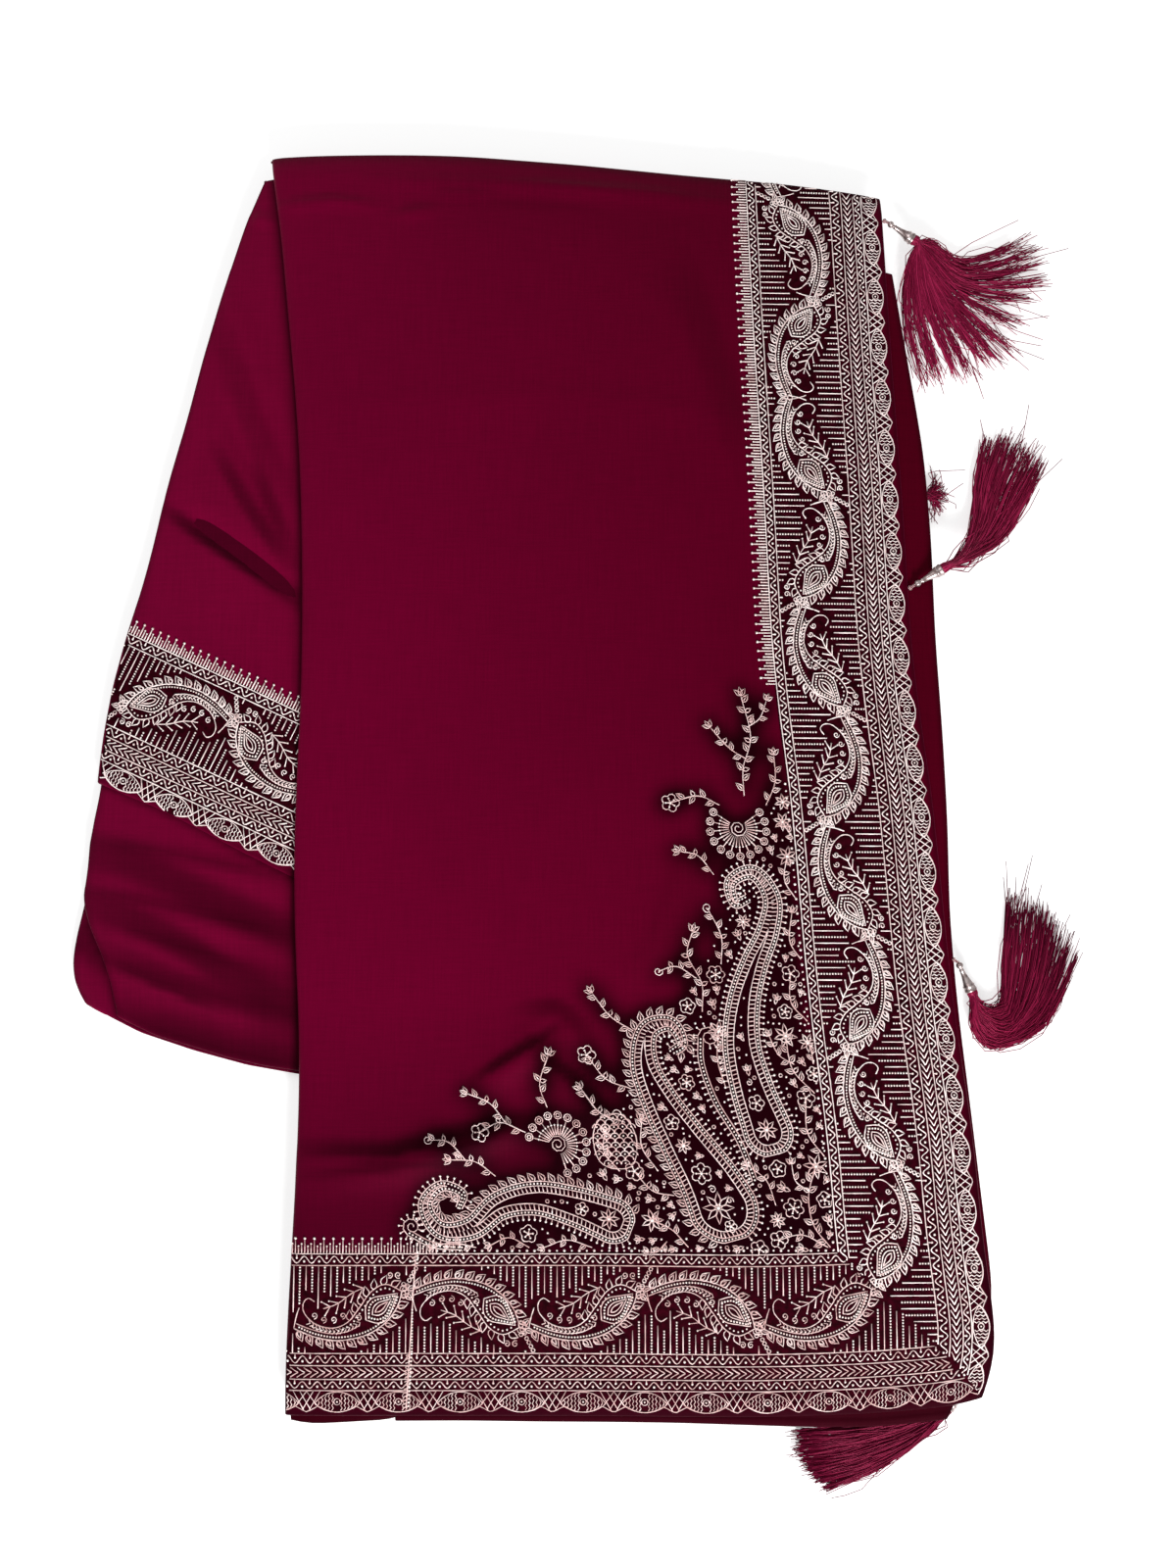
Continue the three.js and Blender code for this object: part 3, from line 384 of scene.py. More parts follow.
class Solid:
    """Closed blocks of points and faces, in millimetres, that are made one mesh."""

    def __init__(self):
        self.points, self.tones, self.faces, self.finishes = [], [], [], []
        self.size = 0

    def add(self, points, faces, finish=0, tone=1.0):
        points = np.asarray(points, float).reshape(-1, 3)
        for block in faces:
            self.faces.append(np.asarray(block) + self.size)
            self.finishes.append(np.full(len(block), finish))
        self.points.append(points)
        self.tones.append(np.broadcast_to(np.reshape(tone, -1), len(points)))
        self.size += len(points)

    def piece(self, name, slot, *finishes):
        """The mesh object of all the blocks, which moves with the part. slot is not used."""
        mesh = bpy.data.meshes.new(name)
        sizes = np.concatenate([np.full(len(block), block.shape[1]) for block in self.faces])
        corners = np.concatenate([block.ravel() for block in self.faces])
        mesh.vertices.add(self.size)
        mesh.vertices.foreach_set("co", (np.concatenate(self.points) * MM).astype(np.float32).ravel())
        mesh.loops.add(len(corners))
        mesh.loops.foreach_set("vertex_index", corners.astype(np.int32))
        mesh.polygons.add(len(sizes))
        mesh.polygons.foreach_set("loop_start", (np.cumsum(sizes) - sizes).astype(np.int32))
        mesh.polygons.foreach_set("material_index", np.concatenate(self.finishes).astype(np.int32))
        mesh.polygons.foreach_set("use_smooth", np.ones(len(sizes), bool))
        mesh.update(calc_edges=True)
        # Each point's tone: painted shade on the cloth, and on threads, beads and silk a spread of tones of
        # their own.
        tone = mesh.attributes.new("tone", "FLOAT", "POINT")
        tone.data.foreach_set("value", np.concatenate(self.tones).astype(np.float32))
        for finish in finishes:
            mesh.materials.append(finish)
        piece = bpy.data.objects.new(name, mesh)
        bpy.context.scene.collection.objects.link(piece)
        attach(piece, "root")
        return piece


def add_wall(solid, top, thickness, tone=1.0):
    """A closed wall under a grid of points, round at its rim."""
    rows, columns = top.shape[:2]
    count = rows * columns
    normal = unit(np.cross(np.gradient(top, axis=1), np.gradient(top, axis=0)))
    upper = top.reshape(-1, 3)
    under = (top - normal * thickness).reshape(-1, 3)
    index = np.arange(count).reshape(rows, columns)
    rim = np.concatenate([index[0, :-1], index[:-1, -1], index[-1, :0:-1], index[:0:-1, 0]])
    row, column = np.divmod(rim, columns)
    inner = index[np.clip(row, 1, rows - 2), np.clip(column, 1, columns - 2)]
    outward = unit(upper[rim] - upper[inner])
    edge = (upper[rim] + under[rim]) / 2 + outward * thickness / 2
    faces = grid_faces(rows, columns)
    tone = np.broadcast_to(tone, (rows, columns)).ravel()
    here = 2 * count + np.arange(len(rim))
    following, after = np.roll(rim, -1), np.roll(here, -1)
    solid.add(
        np.concatenate([upper, under, edge]),
        [
            faces,
            faces[:, ::-1] + count,
            np.stack([here, after, following, rim], -1),
            np.stack([rim + count, following + count, after, here], -1),
        ],
        tone=np.concatenate([tone, tone, tone[rim]]),
    )


def add_swept(solid, rings, finish=0, tone=1.0):
    """Closed forms, each a row of rings of corners: an array of forms × rings × corners × 3."""
    forms, count, corners = rings.shape[:3]
    each = count * corners
    starts = np.arange(forms)[:, None] * each
    skin = grid_faces(count, corners, closed=True) + starts[:, None]
    foot, head = np.arange(corners)[::-1], np.arange(corners) + each - corners
    tones = np.repeat(np.broadcast_to(tone, forms), each)
    solid.add(rings, [skin.reshape(-1, 4), foot + starts, head + starts], finish, tones)


def add_tubes(solid, paths, radius, sides, tone=0.5):
    """Closed tubes along paths, an array of tubes × points × 3. radius may differ along them."""
    way = unit(np.gradient(paths, axis=1))
    side = unit(np.cross(np.array([0.0, 0.0, 1.0]) + 1e-4, way))
    up = np.cross(way, side)
    angle = 2 * math.pi * (np.arange(sides) + 0.25) / sides
    reach = np.broadcast_to(radius, paths.shape[:2])[..., None, None]
    ring = side[:, :, None] * np.cos(angle)[:, None] + up[:, :, None] * np.sin(angle)[:, None]
    add_swept(solid, paths[:, :, None] + reach * ring, tone=tone)


def add_turned(solid, start, axis, profile, sides, tone=1.0):
    """A closed form turned about an axis. The profile's rows are the place along it and the radius."""
    axis = unit(np.asarray(axis, float))
    side, up = square_to(axis)
    angle = 2 * math.pi * np.arange(sides) / sides
    spokes = side * np.cos(angle)[:, None] - up * np.sin(angle)[:, None]
    at, radius = np.array(profile).T
    rings = np.asarray(start) + axis * at[:, None, None] + spokes * radius[:, None, None]
    add_swept(solid, rings[None], tone=tone)


def add_threads(solid, lines, lift, finish, scale, tones):
    """Stitched lines as raised threads, each a closed prism on the cloth, in a tone of its own."""
    groups = {}
    for line in lines:
        groups.setdefault(len(line), []).append(line)
    for _, group in sorted(groups.items()):
        plan = np.stack(group)
        uneven = 1 + THREAD["uneven"] * RANDOM.standard_normal(plan.shape[:2]).clip(-1.5, 1.5)
        side = left_of(unit(np.gradient(plan, axis=1))) * (THREAD["width"] * scale * uneven / 2)[..., None]
        z = lift(plan[..., 0], plan[..., 1])
        low = (z - THREAD["sink"])[..., None]
        high = (z + THREAD["height"] * scale * uneven)[..., None]
        corners = [(plan + side, low), (plan, high), (plan - side, low)]
        rings = np.stack([np.concatenate(corner, -1) for corner in corners], axis=2)
        add_swept(solid, rings, finish, RANDOM.uniform(*tones, len(group)))


def add_dots(solid, dots, lift, finish):
    """Beads, knots and sequins as low six-sided domes."""
    x, y, radius = np.array(dots).T
    z = lift(x, y)
    at = lambda height: np.stack([x, y, height], -1)[:, None]
    rim = np.repeat(at(z + DOME["rim"]), 6, 1)
    rim[..., :2] += radius[:, None, None] * polar(math.pi * np.arange(6) / 3)
    foot, head = at(z - THREAD["sink"]), at(z + DOME["height"] + DOME["swell"] * radius)
    k = np.arange(6)
    after = (k + 1) % 6
    one = np.concatenate([np.stack([k, after, k * 0 + 7], -1), np.stack([after, k, k * 0 + 6], -1)])
    starts = np.arange(len(x))[:, None, None] * 8
    tones = np.repeat(RANDOM.uniform(0.3, 1.0, len(x)), 8)
    solid.add(np.concatenate([rim, foot, head], 1), [(one[None] + starts).reshape(-1, 3)], finish, tones)


# ---- The shapes of the plies, from the frame ----
class Outline:
    """The plan outline of a CAD node: its corners, and smooth functions for its four edges.

    left and right give x at a height y, foot and head give y at a place x.
    """

    SLICES = 90

    def __init__(self, node, passes=8):
        self.passes = passes
        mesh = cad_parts[node].data
        points = np.array([v.co for v in mesh.vertices]) / MM
        self.edges = points[np.array([e.vertices[:] for e in mesh.edges])]
        corner = lambda x, y: points[np.argmax(x * points[:, 0] + y * points[:, 1]), :2]
        self.foot_left, self.foot_right = corner(-1, -1), corner(1, -1)
        self.head_left, self.head_right = corner(-1, 1), corner(1, 1)
        self.left = self.edge(1, self.foot_left, self.head_left, np.min)
        self.right = self.edge(1, self.foot_right, self.head_right, np.max)
        self.foot = self.edge(0, self.foot_left, self.foot_right, np.min)
        self.head = self.edge(0, self.head_left, self.head_right, np.max)

    def edge(self, axis, start, end, pick):
        a, b = self.edges[:, 0], self.edges[:, 1]
        at = np.linspace(start[axis], end[axis], self.SLICES)
        found = [start[1 - axis]]
        for place in at[1:-1]:
            cut = (a[:, axis] - place) * (b[:, axis] - place) < 0
            share = (place - a[cut, axis]) / (b[cut, axis] - a[cut, axis])
            found.append(pick(lerp(a[cut, 1 - axis], b[cut, 1 - axis], share)))
        found = smoothed(found + [end[1 - axis]], self.passes)
        return lambda wanted: np.interp(wanted, at, found)

    def point(self, u, v):
        """The plan point at the shares u across and v up, each 0 to 1."""
        left = self.left(lerp(self.foot_left[1], self.head_left[1], v))
        right = self.right(lerp(self.foot_right[1], self.head_right[1], v))
        foot = self.foot(lerp(self.foot_left[0], self.foot_right[0], u))
        head = self.head(lerp(self.head_left[0], self.head_right[0], u))
        return lerp(left, right, u), lerp(foot, head, v)

    def loop(self, step):
        """The closed outline, counter-clockwise, with a point about every `step`."""
        spans = lambda a, b: np.linspace(0, 1, max(2, int(np.linalg.norm(a - b) / step)), endpoint=False)
        foot, right = spans(self.foot_left, self.foot_right), spans(self.foot_right, self.head_right)
        head, left = spans(self.head_left, self.head_right), spans(self.foot_left, self.head_left)
        u = np.concatenate([foot, right * 0 + 1, 1 - head, left * 0])
        v = np.concatenate([foot * 0, right, head * 0 + 1, 1 - left])
        return np.stack(self.point(u, v), -1)


def from_run(run, x, y):
    """How far to the left of a run points of the plan are, and how strong it still is along it there."""
    run = np.array(run, float)
    lengths = np.linalg.norm(np.diff(run, axis=0), axis=1)
    nearest = np.full(np.shape(x), 1e9)
    share = np.zeros(np.shape(x))
    gone = 0.0
    for a, b, length in zip(run[:-1], run[1:], lengths):
        way = (b - a) / length
        ahead = np.clip((x - a[0]) * way[0] + (y - a[1]) * way[1], 0, length)
        dx, dy = x - a[0] - ahead * way[0], y - a[1] - ahead * way[1]
        away = np.where(way[0] * dy - way[1] * dx > 0, 1, -1) * np.hypot(dx, dy)
        closer = np.abs(away) < np.abs(nearest)
        nearest = np.where(closer, away, nearest)
        share = np.where(closer, (gone + ahead) / lengths.sum(), share)
        gone += length
    return nearest, np.exp(-((2.1 * (share - 0.5)) ** 4))


def crease_height(creases, x, y):
    """The height that the creases add at points of the plan. right and left are their widths."""
    total = np.zeros(np.shape(x))
    for run, height, right, left in creases:
        nearest, fade = from_run(run, x, y)
        crest = -0.7 * left if right > left else 0.7 * right
        total += height * fade * np.exp(-(((nearest - crest) / np.where(nearest > crest, left, right)) ** 2))
    return total


def shade_left(shades, x, y):
    """The share of its brightness that the cloth keeps under the painted shade of its creases and folds."""
    kept = np.ones(np.shape(x))
    for run, dark, right, left in shades:
        nearest, fade = from_run(run, x, y)
        kept *= 1 - dark * fade * np.exp(-((nearest / np.where(nearest > 0, left, right)) ** 4))
    return kept


class Surface:
    """The top of a ply: the smoothed top of its CAD node, its creases and its open hems."""

    STEP = 3.0
    INSIDE = 2.4  # how far inside its outline the node has its full thickness

    def __init__(self, node, outline, creases=(), hems=(), folds=(), radius=0.0, rolls=None, shades=()):
        self.outline, self.creases, self.hems, self.folds = outline, creases, hems, folds
        self.radius, self.rolls, self.shades = radius, rolls or {}, shades
        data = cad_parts[node].data
        tree = BVHTree.FromPolygons([v.co[:] for v in data.vertices], [p.vertices[:] for p in data.polygons])
        low, high = (np.array(corner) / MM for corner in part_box(node))
        self.low = low[:2]
        at_x, at_y = (np.arange(low[k], high[k] + self.STEP, self.STEP) for k in (0, 1))
        grid_y, grid_x = np.meshgrid(at_y, at_x, indexing="ij")
        inside = self.INSIDE
        for _ in range(3):
            grid_x = np.clip(grid_x, outline.left(grid_y) + inside, outline.right(grid_y) - inside)
            grid_y = np.clip(grid_y, outline.foot(grid_x) + inside, outline.head(grid_x) - inside)
        heights = []
        for x, y in zip(grid_x.ravel(), grid_y.ravel()):
            hit = tree.ray_cast(Vector((x * MM, y * MM, 0.1)), Vector((0, 0, -1)))[0]
            heights.append(hit.z / MM if hit else (heights[-1] if heights else high[2]))
        z = np.array(heights).reshape(grid_x.shape)
        for _ in range(8):
            z = np.pad(z, 1, mode="edge")
            z = (z[:-2] + 2 * z[1:-1] + z[2:]) / 4
            z = (z[:, :-2] + 2 * z[:, 1:-1] + z[:, 2:]) / 4
        self.z = z

    def inset(self, edge, x, y):
        """How far inside one edge a point is."""
        return {
            "left": lambda: x - self.outline.left(y),
            "right": lambda: self.outline.right(y) - x,
            "foot": lambda: y - self.outline.foot(x),
            "head": lambda: self.outline.head(x) - y,
        }[edge]()

    def flat(self, x, y):
        """The height of the cloth, but for the rounding at its folds."""
        z = sampled(self.z, (y - self.low[1]) / self.STEP, (x - self.low[0]) / self.STEP)
        z = z + crease_height(self.creases, x, y)
        for edge in self.hems:
            inset = self.inset(edge, x, y)
            z -= HEM["droop"] * np.clip(1 - inset / HEM["reach"], 0, 1) ** 2
            z += HEM["height"] * np.clip((HEM["width"] - inset) / 0.8, 0, 1)
        for edge, roll in self.rolls.items():
            z -= roll["depth"] * np.clip(1 - self.inset(edge, x, y) / roll["reach"], 0, 1) ** 2
        return z

    def __call__(self, x, y):
        z = self.flat(x, y)
        for edge in self.folds:
            short = np.clip(self.radius - self.inset(edge, x, y), 0, self.radius)
            z = z - self.radius + np.sqrt(self.radius**2 - short**2)
        return z


def stations(length, step, folded, radius):
    """Places over a ply from one edge to the other: how far in each is, and how far down.

    folded says of each of the two edges whether the cloth turns under there.
    """
    def edge(is_fold):
        if not is_fold:
            return np.array([0, 0.6, 1.4, 2.4, 3.0, 3.8]), np.zeros(6)
        angle = np.linspace(-math.pi / 2, math.pi / 2, 9)
        round_in, round_down = radius * (1 - np.cos(angle)), radius * (1 - np.sin(angle))
        under_in = radius + np.array([TUCKED, TUCKED / 2])
        return np.concatenate([under_in, round_in]), np.concatenate([[2 * radius] * 2, round_down])

    (first, first_down), (last, last_down) = edge(folded[0]), edge(folded[1])
    between = length - first[-1] - last[-1]
    middle = first[-1] + between * np.linspace(0, 1, max(3, round(between / step)) + 1)[1:-1]
    inset = np.concatenate([first, middle, length - last[::-1]])
    return inset / length, np.concatenate([first_down, middle * 0, last_down[::-1]])


def add_ply(solid, surface, size, step, brightness):
    """A ply of thin cloth over its surface, turned under at its folds."""
    radius = max(surface.radius, 0.1)
    folded = lambda a, b: (a in surface.folds, b in surface.folds)
    u, down_u = stations(size[0], step, folded("left", "right"), radius)
    v, down_v = stations(size[1], step, folded("foot", "head"), radius)
    v_grid, u_grid = np.meshgrid(v, u, indexing="ij")
    down = 2 * radius * (1 - (1 - down_u[None] / (2 * radius)) * (1 - down_v[:, None] / (2 * radius)))
    x, y = surface.outline.point(u_grid, v_grid)
    top = np.stack([x, y, surface.flat(x, y) - down], -1)
    add_wall(solid, top, CLOTH, shade_left(surface.shades, x, y) * brightness(x, y))


def add_pile(solid, outline, top, plies, groove, uneven, step):
    """Hidden plies as one solid, each of them bulging at the edge."""
    loop = outline.loop(step)
    count = len(loop)
    way = unit(np.roll(loop, -1, 0) - np.roll(loop, 1, 0))
    outward = -left_of(way)
    turn = 2 * math.pi * np.arange(count) / count
    rings = []

    def ring(inset, share):
        plan = loop - outward * np.reshape(inset, (-1, 1))
        rings.append(np.concatenate([plan, (share * top(*plan.T))[:, None]], -1))

    shape = [(0.0, 1.0), (0.16, 0.35), (0.38, 0.0), (0.66, 0.0), (0.86, 0.35)]
    for ply in range(plies):
        waves = sum(
            RANDOM.uniform(0.3, 1) * np.sin(k * turn + RANDOM.uniform(0, 6.3)) for k in (2, 3, 5, 9, 14)
        )
        own = uneven * (1 + 0.5 * waves)
        for at, deep in shape:
            ring(own + groove * deep, (ply + at) / plies)
    ring(own + groove, 1)
    middle = loop.mean(0)
    spine = np.stack([np.full(count, middle[0]), np.clip(loop[:, 1], middle[1] - 120, middle[1] + 120)], -1)
    for share in (0.12, 0.35, 0.7, 0.95):
        plan = lerp(loop, spine, share)
        rings.append(np.concatenate([plan, top(*plan.T)[:, None]], -1))
    points = np.concatenate(rings + [[[*middle, 0]], [[*middle, top(*middle[:, None])[0]]]])
    k = np.arange(count)
    foot, head, last = len(points) - 2, len(points) - 1, (len(rings) - 1) * count
    after = (k + 1) % count
    inside = points[:, 1] - outline.foot(points[:, 0])
    solid.add(
        points,
        [
            grid_faces(len(rings), count, closed=True),
            np.stack([after, k, k * 0 + foot], -1),
            np.stack([k + last, after + last, k * 0 + head], -1),
        ],
        tone=dimmer(inside, **PILE_DIM),
    )


# ---- Drawing with thread ----
class Work:
    """Stitched lines and dots, drawn in a plan of their own and then placed on the cloth."""

    def __init__(self):
        self.lines, self.dots = [], []

    def line(self, *points):
        self.lines.append(np.array(points, float))

    def straight(self, a, b, step=4.0):
        a, b = np.array(a, float), np.array(b, float)
        count = max(1, math.ceil(np.linalg.norm(b - a) / step))
        self.lines.append(lerp(a, b, np.linspace(0, 1, count + 1)[:, None]))

    def curve(self, points, step=1.2):
        self.lines.append(spline(points, step))
        return self.lines[-1]

    def dot(self, at, radius=DOT):
        self.dots.append((at[0], at[1], radius))

    def beads(self, line, pitch=1.25, radius=0.44, start=0.0, end=0.0):
        for at in along(line, pitch, start, end)[0]:
            self.dot(at, radius)

    def ring(self, at, radius, sides=8):
        self.lines.append(np.array(at) + radius * polar(2 * math.pi * np.arange(sides + 1) / sides))

    def spiral(self, at, radius, turns=1.25, start=0.0, hand=1):
        """A curl that ends at its middle. start is the direction of its outer end, in degrees."""
        count = max(6, round(turns * 8))
        share = np.linspace(0, 1, count + 1)
        angle = math.radians(start) + hand * 2 * math.pi * turns * share
        reach = radius * (1 - 0.82 * share)
        self.lines.append(np.array(at) + reach[:, None] * polar(angle))

    def leaf(self, base, angle, length, width, vein=True):
        """A pointed leaf from its base, angle in degrees."""
        way = polar(math.radians(angle))
        side = left_of(way)
        base = np.array(base, float)
        bulge = [(0.2, 0.42), (0.45, 0.5), (0.72, 0.27)]
        out = [base + way * length * t + side * width * w for t, w in bulge]
        back = [base + way * length * t - side * width * w for t, w in reversed(bulge)]
        outline = np.array([base, *out, base + way * length, *back, base])
        if length > 6:
            halves = spline(outline[:5], 1.4), spline(outline[4:], 1.4)
            outline = np.concatenate([halves[0], halves[1][1:]])
        self.lines.append(outline)
        if vein:
            self.line(base + way * length * 0.2, base + way * length * 0.75)

    def leaves(self, line, pitch, length, width, side, lean=50, start=0.0, end=0.0, vein=False):
        """Leaves along one side of a line, side 1 being its left, leaning forward."""
        for at, way in zip(*along(line, pitch, start, end)):
            self.leaf(at, math.degrees(angle_of(way)) + side * lean, length, width, vein)

    def pins(self, line, pitch, length, side, radius=DOT, start=0.0, end=0.0):
        """Short stems that end in a knot, along one side of a line."""
        for at, way in zip(*along(line, pitch, start, end)):
            tip = at + side * length * left_of(way)
            self.line(at, tip)
            self.dot(tip, radius)

    def rays(self, at, count, inner, outer, start=0.0, sweep=360.0):
        """Straight rays about a point, and the ends of them."""
        share = np.arange(count) / (count if sweep >= 360 else max(1, count - 1))
        way = polar(np.radians(start + sweep * share))
        for w in way:
            self.line(np.array(at) + w * inner, np.array(at) + w * outer)
        return np.array(at) + way * outer

    def star(self, at, radius, points=8, turn=0.0):
        """A star flower: a leaf to each point, and a knot in the middle."""
        for k in range(points):
            angle = turn + 360 * k / points
            base = np.array(at) + polar(math.radians(angle)) * 0.15 * radius
            self.leaf(base, angle, radius * 0.85, radius * 0.34, vein=False)
        self.dot(at, 0.9)

    def flower(self, at, radius, petals=5, turn=0.0):
        """A round flower: a scalloped rim, and stamens."""
        angle = np.linspace(0, 2 * math.pi, petals * 4 + 1)
        reach = radius * (0.72 + 0.28 * np.abs(np.sin(petals * angle / 2 + math.radians(turn))))
        self.lines.append(np.array(at) + reach[:, None] * polar(angle))
        for tip in self.rays(at, petals, 0.2, radius * 0.5, turn):
            self.dot(tip, 0.45)
        self.dot(at, 0.7)

    def spray(self, stem, pitch=5.0, size=3.4, end="flower"):
        """A stem with leaves by turns on either side of it, and a bloom or a bud at its tip."""
        line = self.curve(stem, 1.6)
        for k, (at, way) in enumerate(zip(*along(line, pitch, pitch * 0.6, pitch * 0.5))):
            heading = math.degrees(angle_of(way))
            turn = 1 if k % 2 else -1
            self.leaf(at, heading + turn * 48, size, size * 0.52)
            if k % 3 == 2:
                self.leaf(at, heading - turn * 70, size * 0.7, size * 0.4, vein=False)
        tip = line[-1]
        heading = math.degrees(angle_of(line[-1] - line[-2]))
        if end == "flower":
            self.flower(tip, size)
        elif end == "star":
            self.star(tip, size * 1.25, 7, heading)
        elif end == "curl":
            self.spiral(tip, size * 0.6, 1.3, heading + 180)
        else:
            for lean in (-42, 0, 42):
                self.leaf(tip, heading + lean, size * 0.9, size * 0.42, vein=False)

    def placed(self, place):
        """The same work on the cloth. place takes and gives arrays of two columns."""
        there = Work()
        there.lines = [place(line) for line in self.lines]
        if self.dots:
            dots = np.array(self.dots)
            there.dots = [tuple(row) for row in np.column_stack([place(dots[:, :2]), dots[:, 2]])]
        return there

    def take(self, other):
        self.lines += other.lines
        self.dots += other.dots

    def kept(self, inside):
        """The work where inside(x, y) is true. A line that crosses its edge is cut there."""
        there = Work()
        for line in self.lines:
            keep = inside(line[:, 0], line[:, 1])
            if keep.all():
                there.lines.append(line)
                continue
            for run in np.split(np.arange(len(line)), np.flatnonzero(np.diff(keep.astype(int))) + 1):
                if len(run) > 1 and keep[run[0]]:
                    there.lines.append(line[run])
        there.dots = [dot for dot in self.dots if inside(np.array([dot[0]]), np.array([dot[1]]))[0]]
        return there


def wave_row(work, low, high, start, end, period=6.3):
    """A wave between two guard lines, with a knot under each crest and a pin over each trough."""
    middle, reach = (low + high) / 2, (high - low) * 0.3
    for k in range(int((end - start) / period)):
        at = start + k * period
        s = np.linspace(at, at + period, 9)
        work.lines.append(np.stack([s, middle + reach * np.sin(2 * math.pi * (s - at) / period)], -1))
        work.dot((at + period * 0.25, middle - reach * 0.45), 0.55)
        work.dot((at + period * 0.75, middle + reach * 0.5), 0.5)
        work.line((at + period * 0.75, middle + reach * 0.5), (at + period * 0.75, high - 0.3))


def chevron_row(work, low, high, start, end, pitch=2.8):
    """Arrowheads along the row, that point the way it runs."""
    middle, reach = (low + high) / 2, (high - low) * 0.36
    for at in np.arange(start, end, pitch):
        for wing in (reach, -reach):
            work.line((at, middle + wing), (at + 1.3, middle + 0.55 * wing), (at + 3.3, middle))


def scallop_depth(place, pitch):
    """How far in the outer edge lies, at a place from the middle of an eye."""
    share = np.abs((place / pitch + 0.5) % 1 - 0.5) * pitch  # distance from the nearest eye's middle
    valley = SCALLOP["valley"] * pitch
    eye = SCALLOP["cut"] * (share / valley) ** 2
    point = SCALLOP["cut"] * np.clip((0.5 * pitch - share) / (0.2 * pitch), 0, 1)
    return np.where(share < valley, eye, point)


def scallop_row(work, row, first, start, end, pitch):
    """The outer edge: by turns a lens with an eye, and a lattice that comes to a point."""
    s = np.arange(start, end, 1.2)
    work.lines.append(np.stack([s, scallop_depth(s - first, pitch)], -1))
    half, ends = SCALLOP["half"] * pitch, SCALLOP["ends"]
    inner = lambda t: ends + (row - 0.5 - ends) * (1 - t**2) ** 0.85
    outer = lambda t: ends * (1 - (1 - t**2) ** 0.9)
    for at in np.arange(first - pitch * math.ceil((first - start) / pitch + 1), end + pitch, pitch):
        t = np.linspace(-1, 1, 15)
        for edge in (inner, outer):
            work.lines.append(np.stack([at + half * t, edge(t)], -1))
        work.ring((at, row * 0.48), 1.35)
        work.dot((at, row * 0.48), 0.4)
        for k in [*range(-5, 0), *range(1, 6)]:
            share = k / 6.4
            low, high = outer(share) + 0.5, inner(share) - 0.5
            count = max(2, int((high - low) / 0.8))
            d = np.linspace(low, high, count)
            wiggle = 0.32 * (np.arange(count) % 2 * 2 - 1)
            work.lines.append(np.stack([at + half * share + wiggle + 0.35 * np.sign(k), d], -1))
        for k in range(-2, 3):
            for step in (-4.4, 4.4):
                reach = 2.8 * k + step
                if abs(reach) < 5:
                    foot = at + pitch / 2 + reach
                    edge = float(scallop_depth(foot - first, pitch)) + 0.3
                    work.straight((foot, edge), (foot - step, row - 0.3))


def comb_row(work, guard, tips, start, end, pitch=4.0):
    """Knobbed teeth on the inner guard: a long one, and two short ones between it and the next."""
    for at in np.arange(start, end, pitch):
        for k, share in enumerate((1.0, 0.5, 0.66)):
            place = at + pitch * k / 3
            tip = (place, lerp(guard, tips, share))
            work.straight((place, guard), tip)
            work.dot(tip, 0.42 if k else 0.6)


def braid(work, line, pitch=1.7, reach=1.25, start=0.0, end=0.0):
    """Herringbone stitches along a line, open towards its start."""
    for at, way in zip(*along(line, pitch, start, end)):
        across = left_of(way)
        work.line(at - way * 1.2 + across * reach, at, at - way * 1.2 - across * reach)


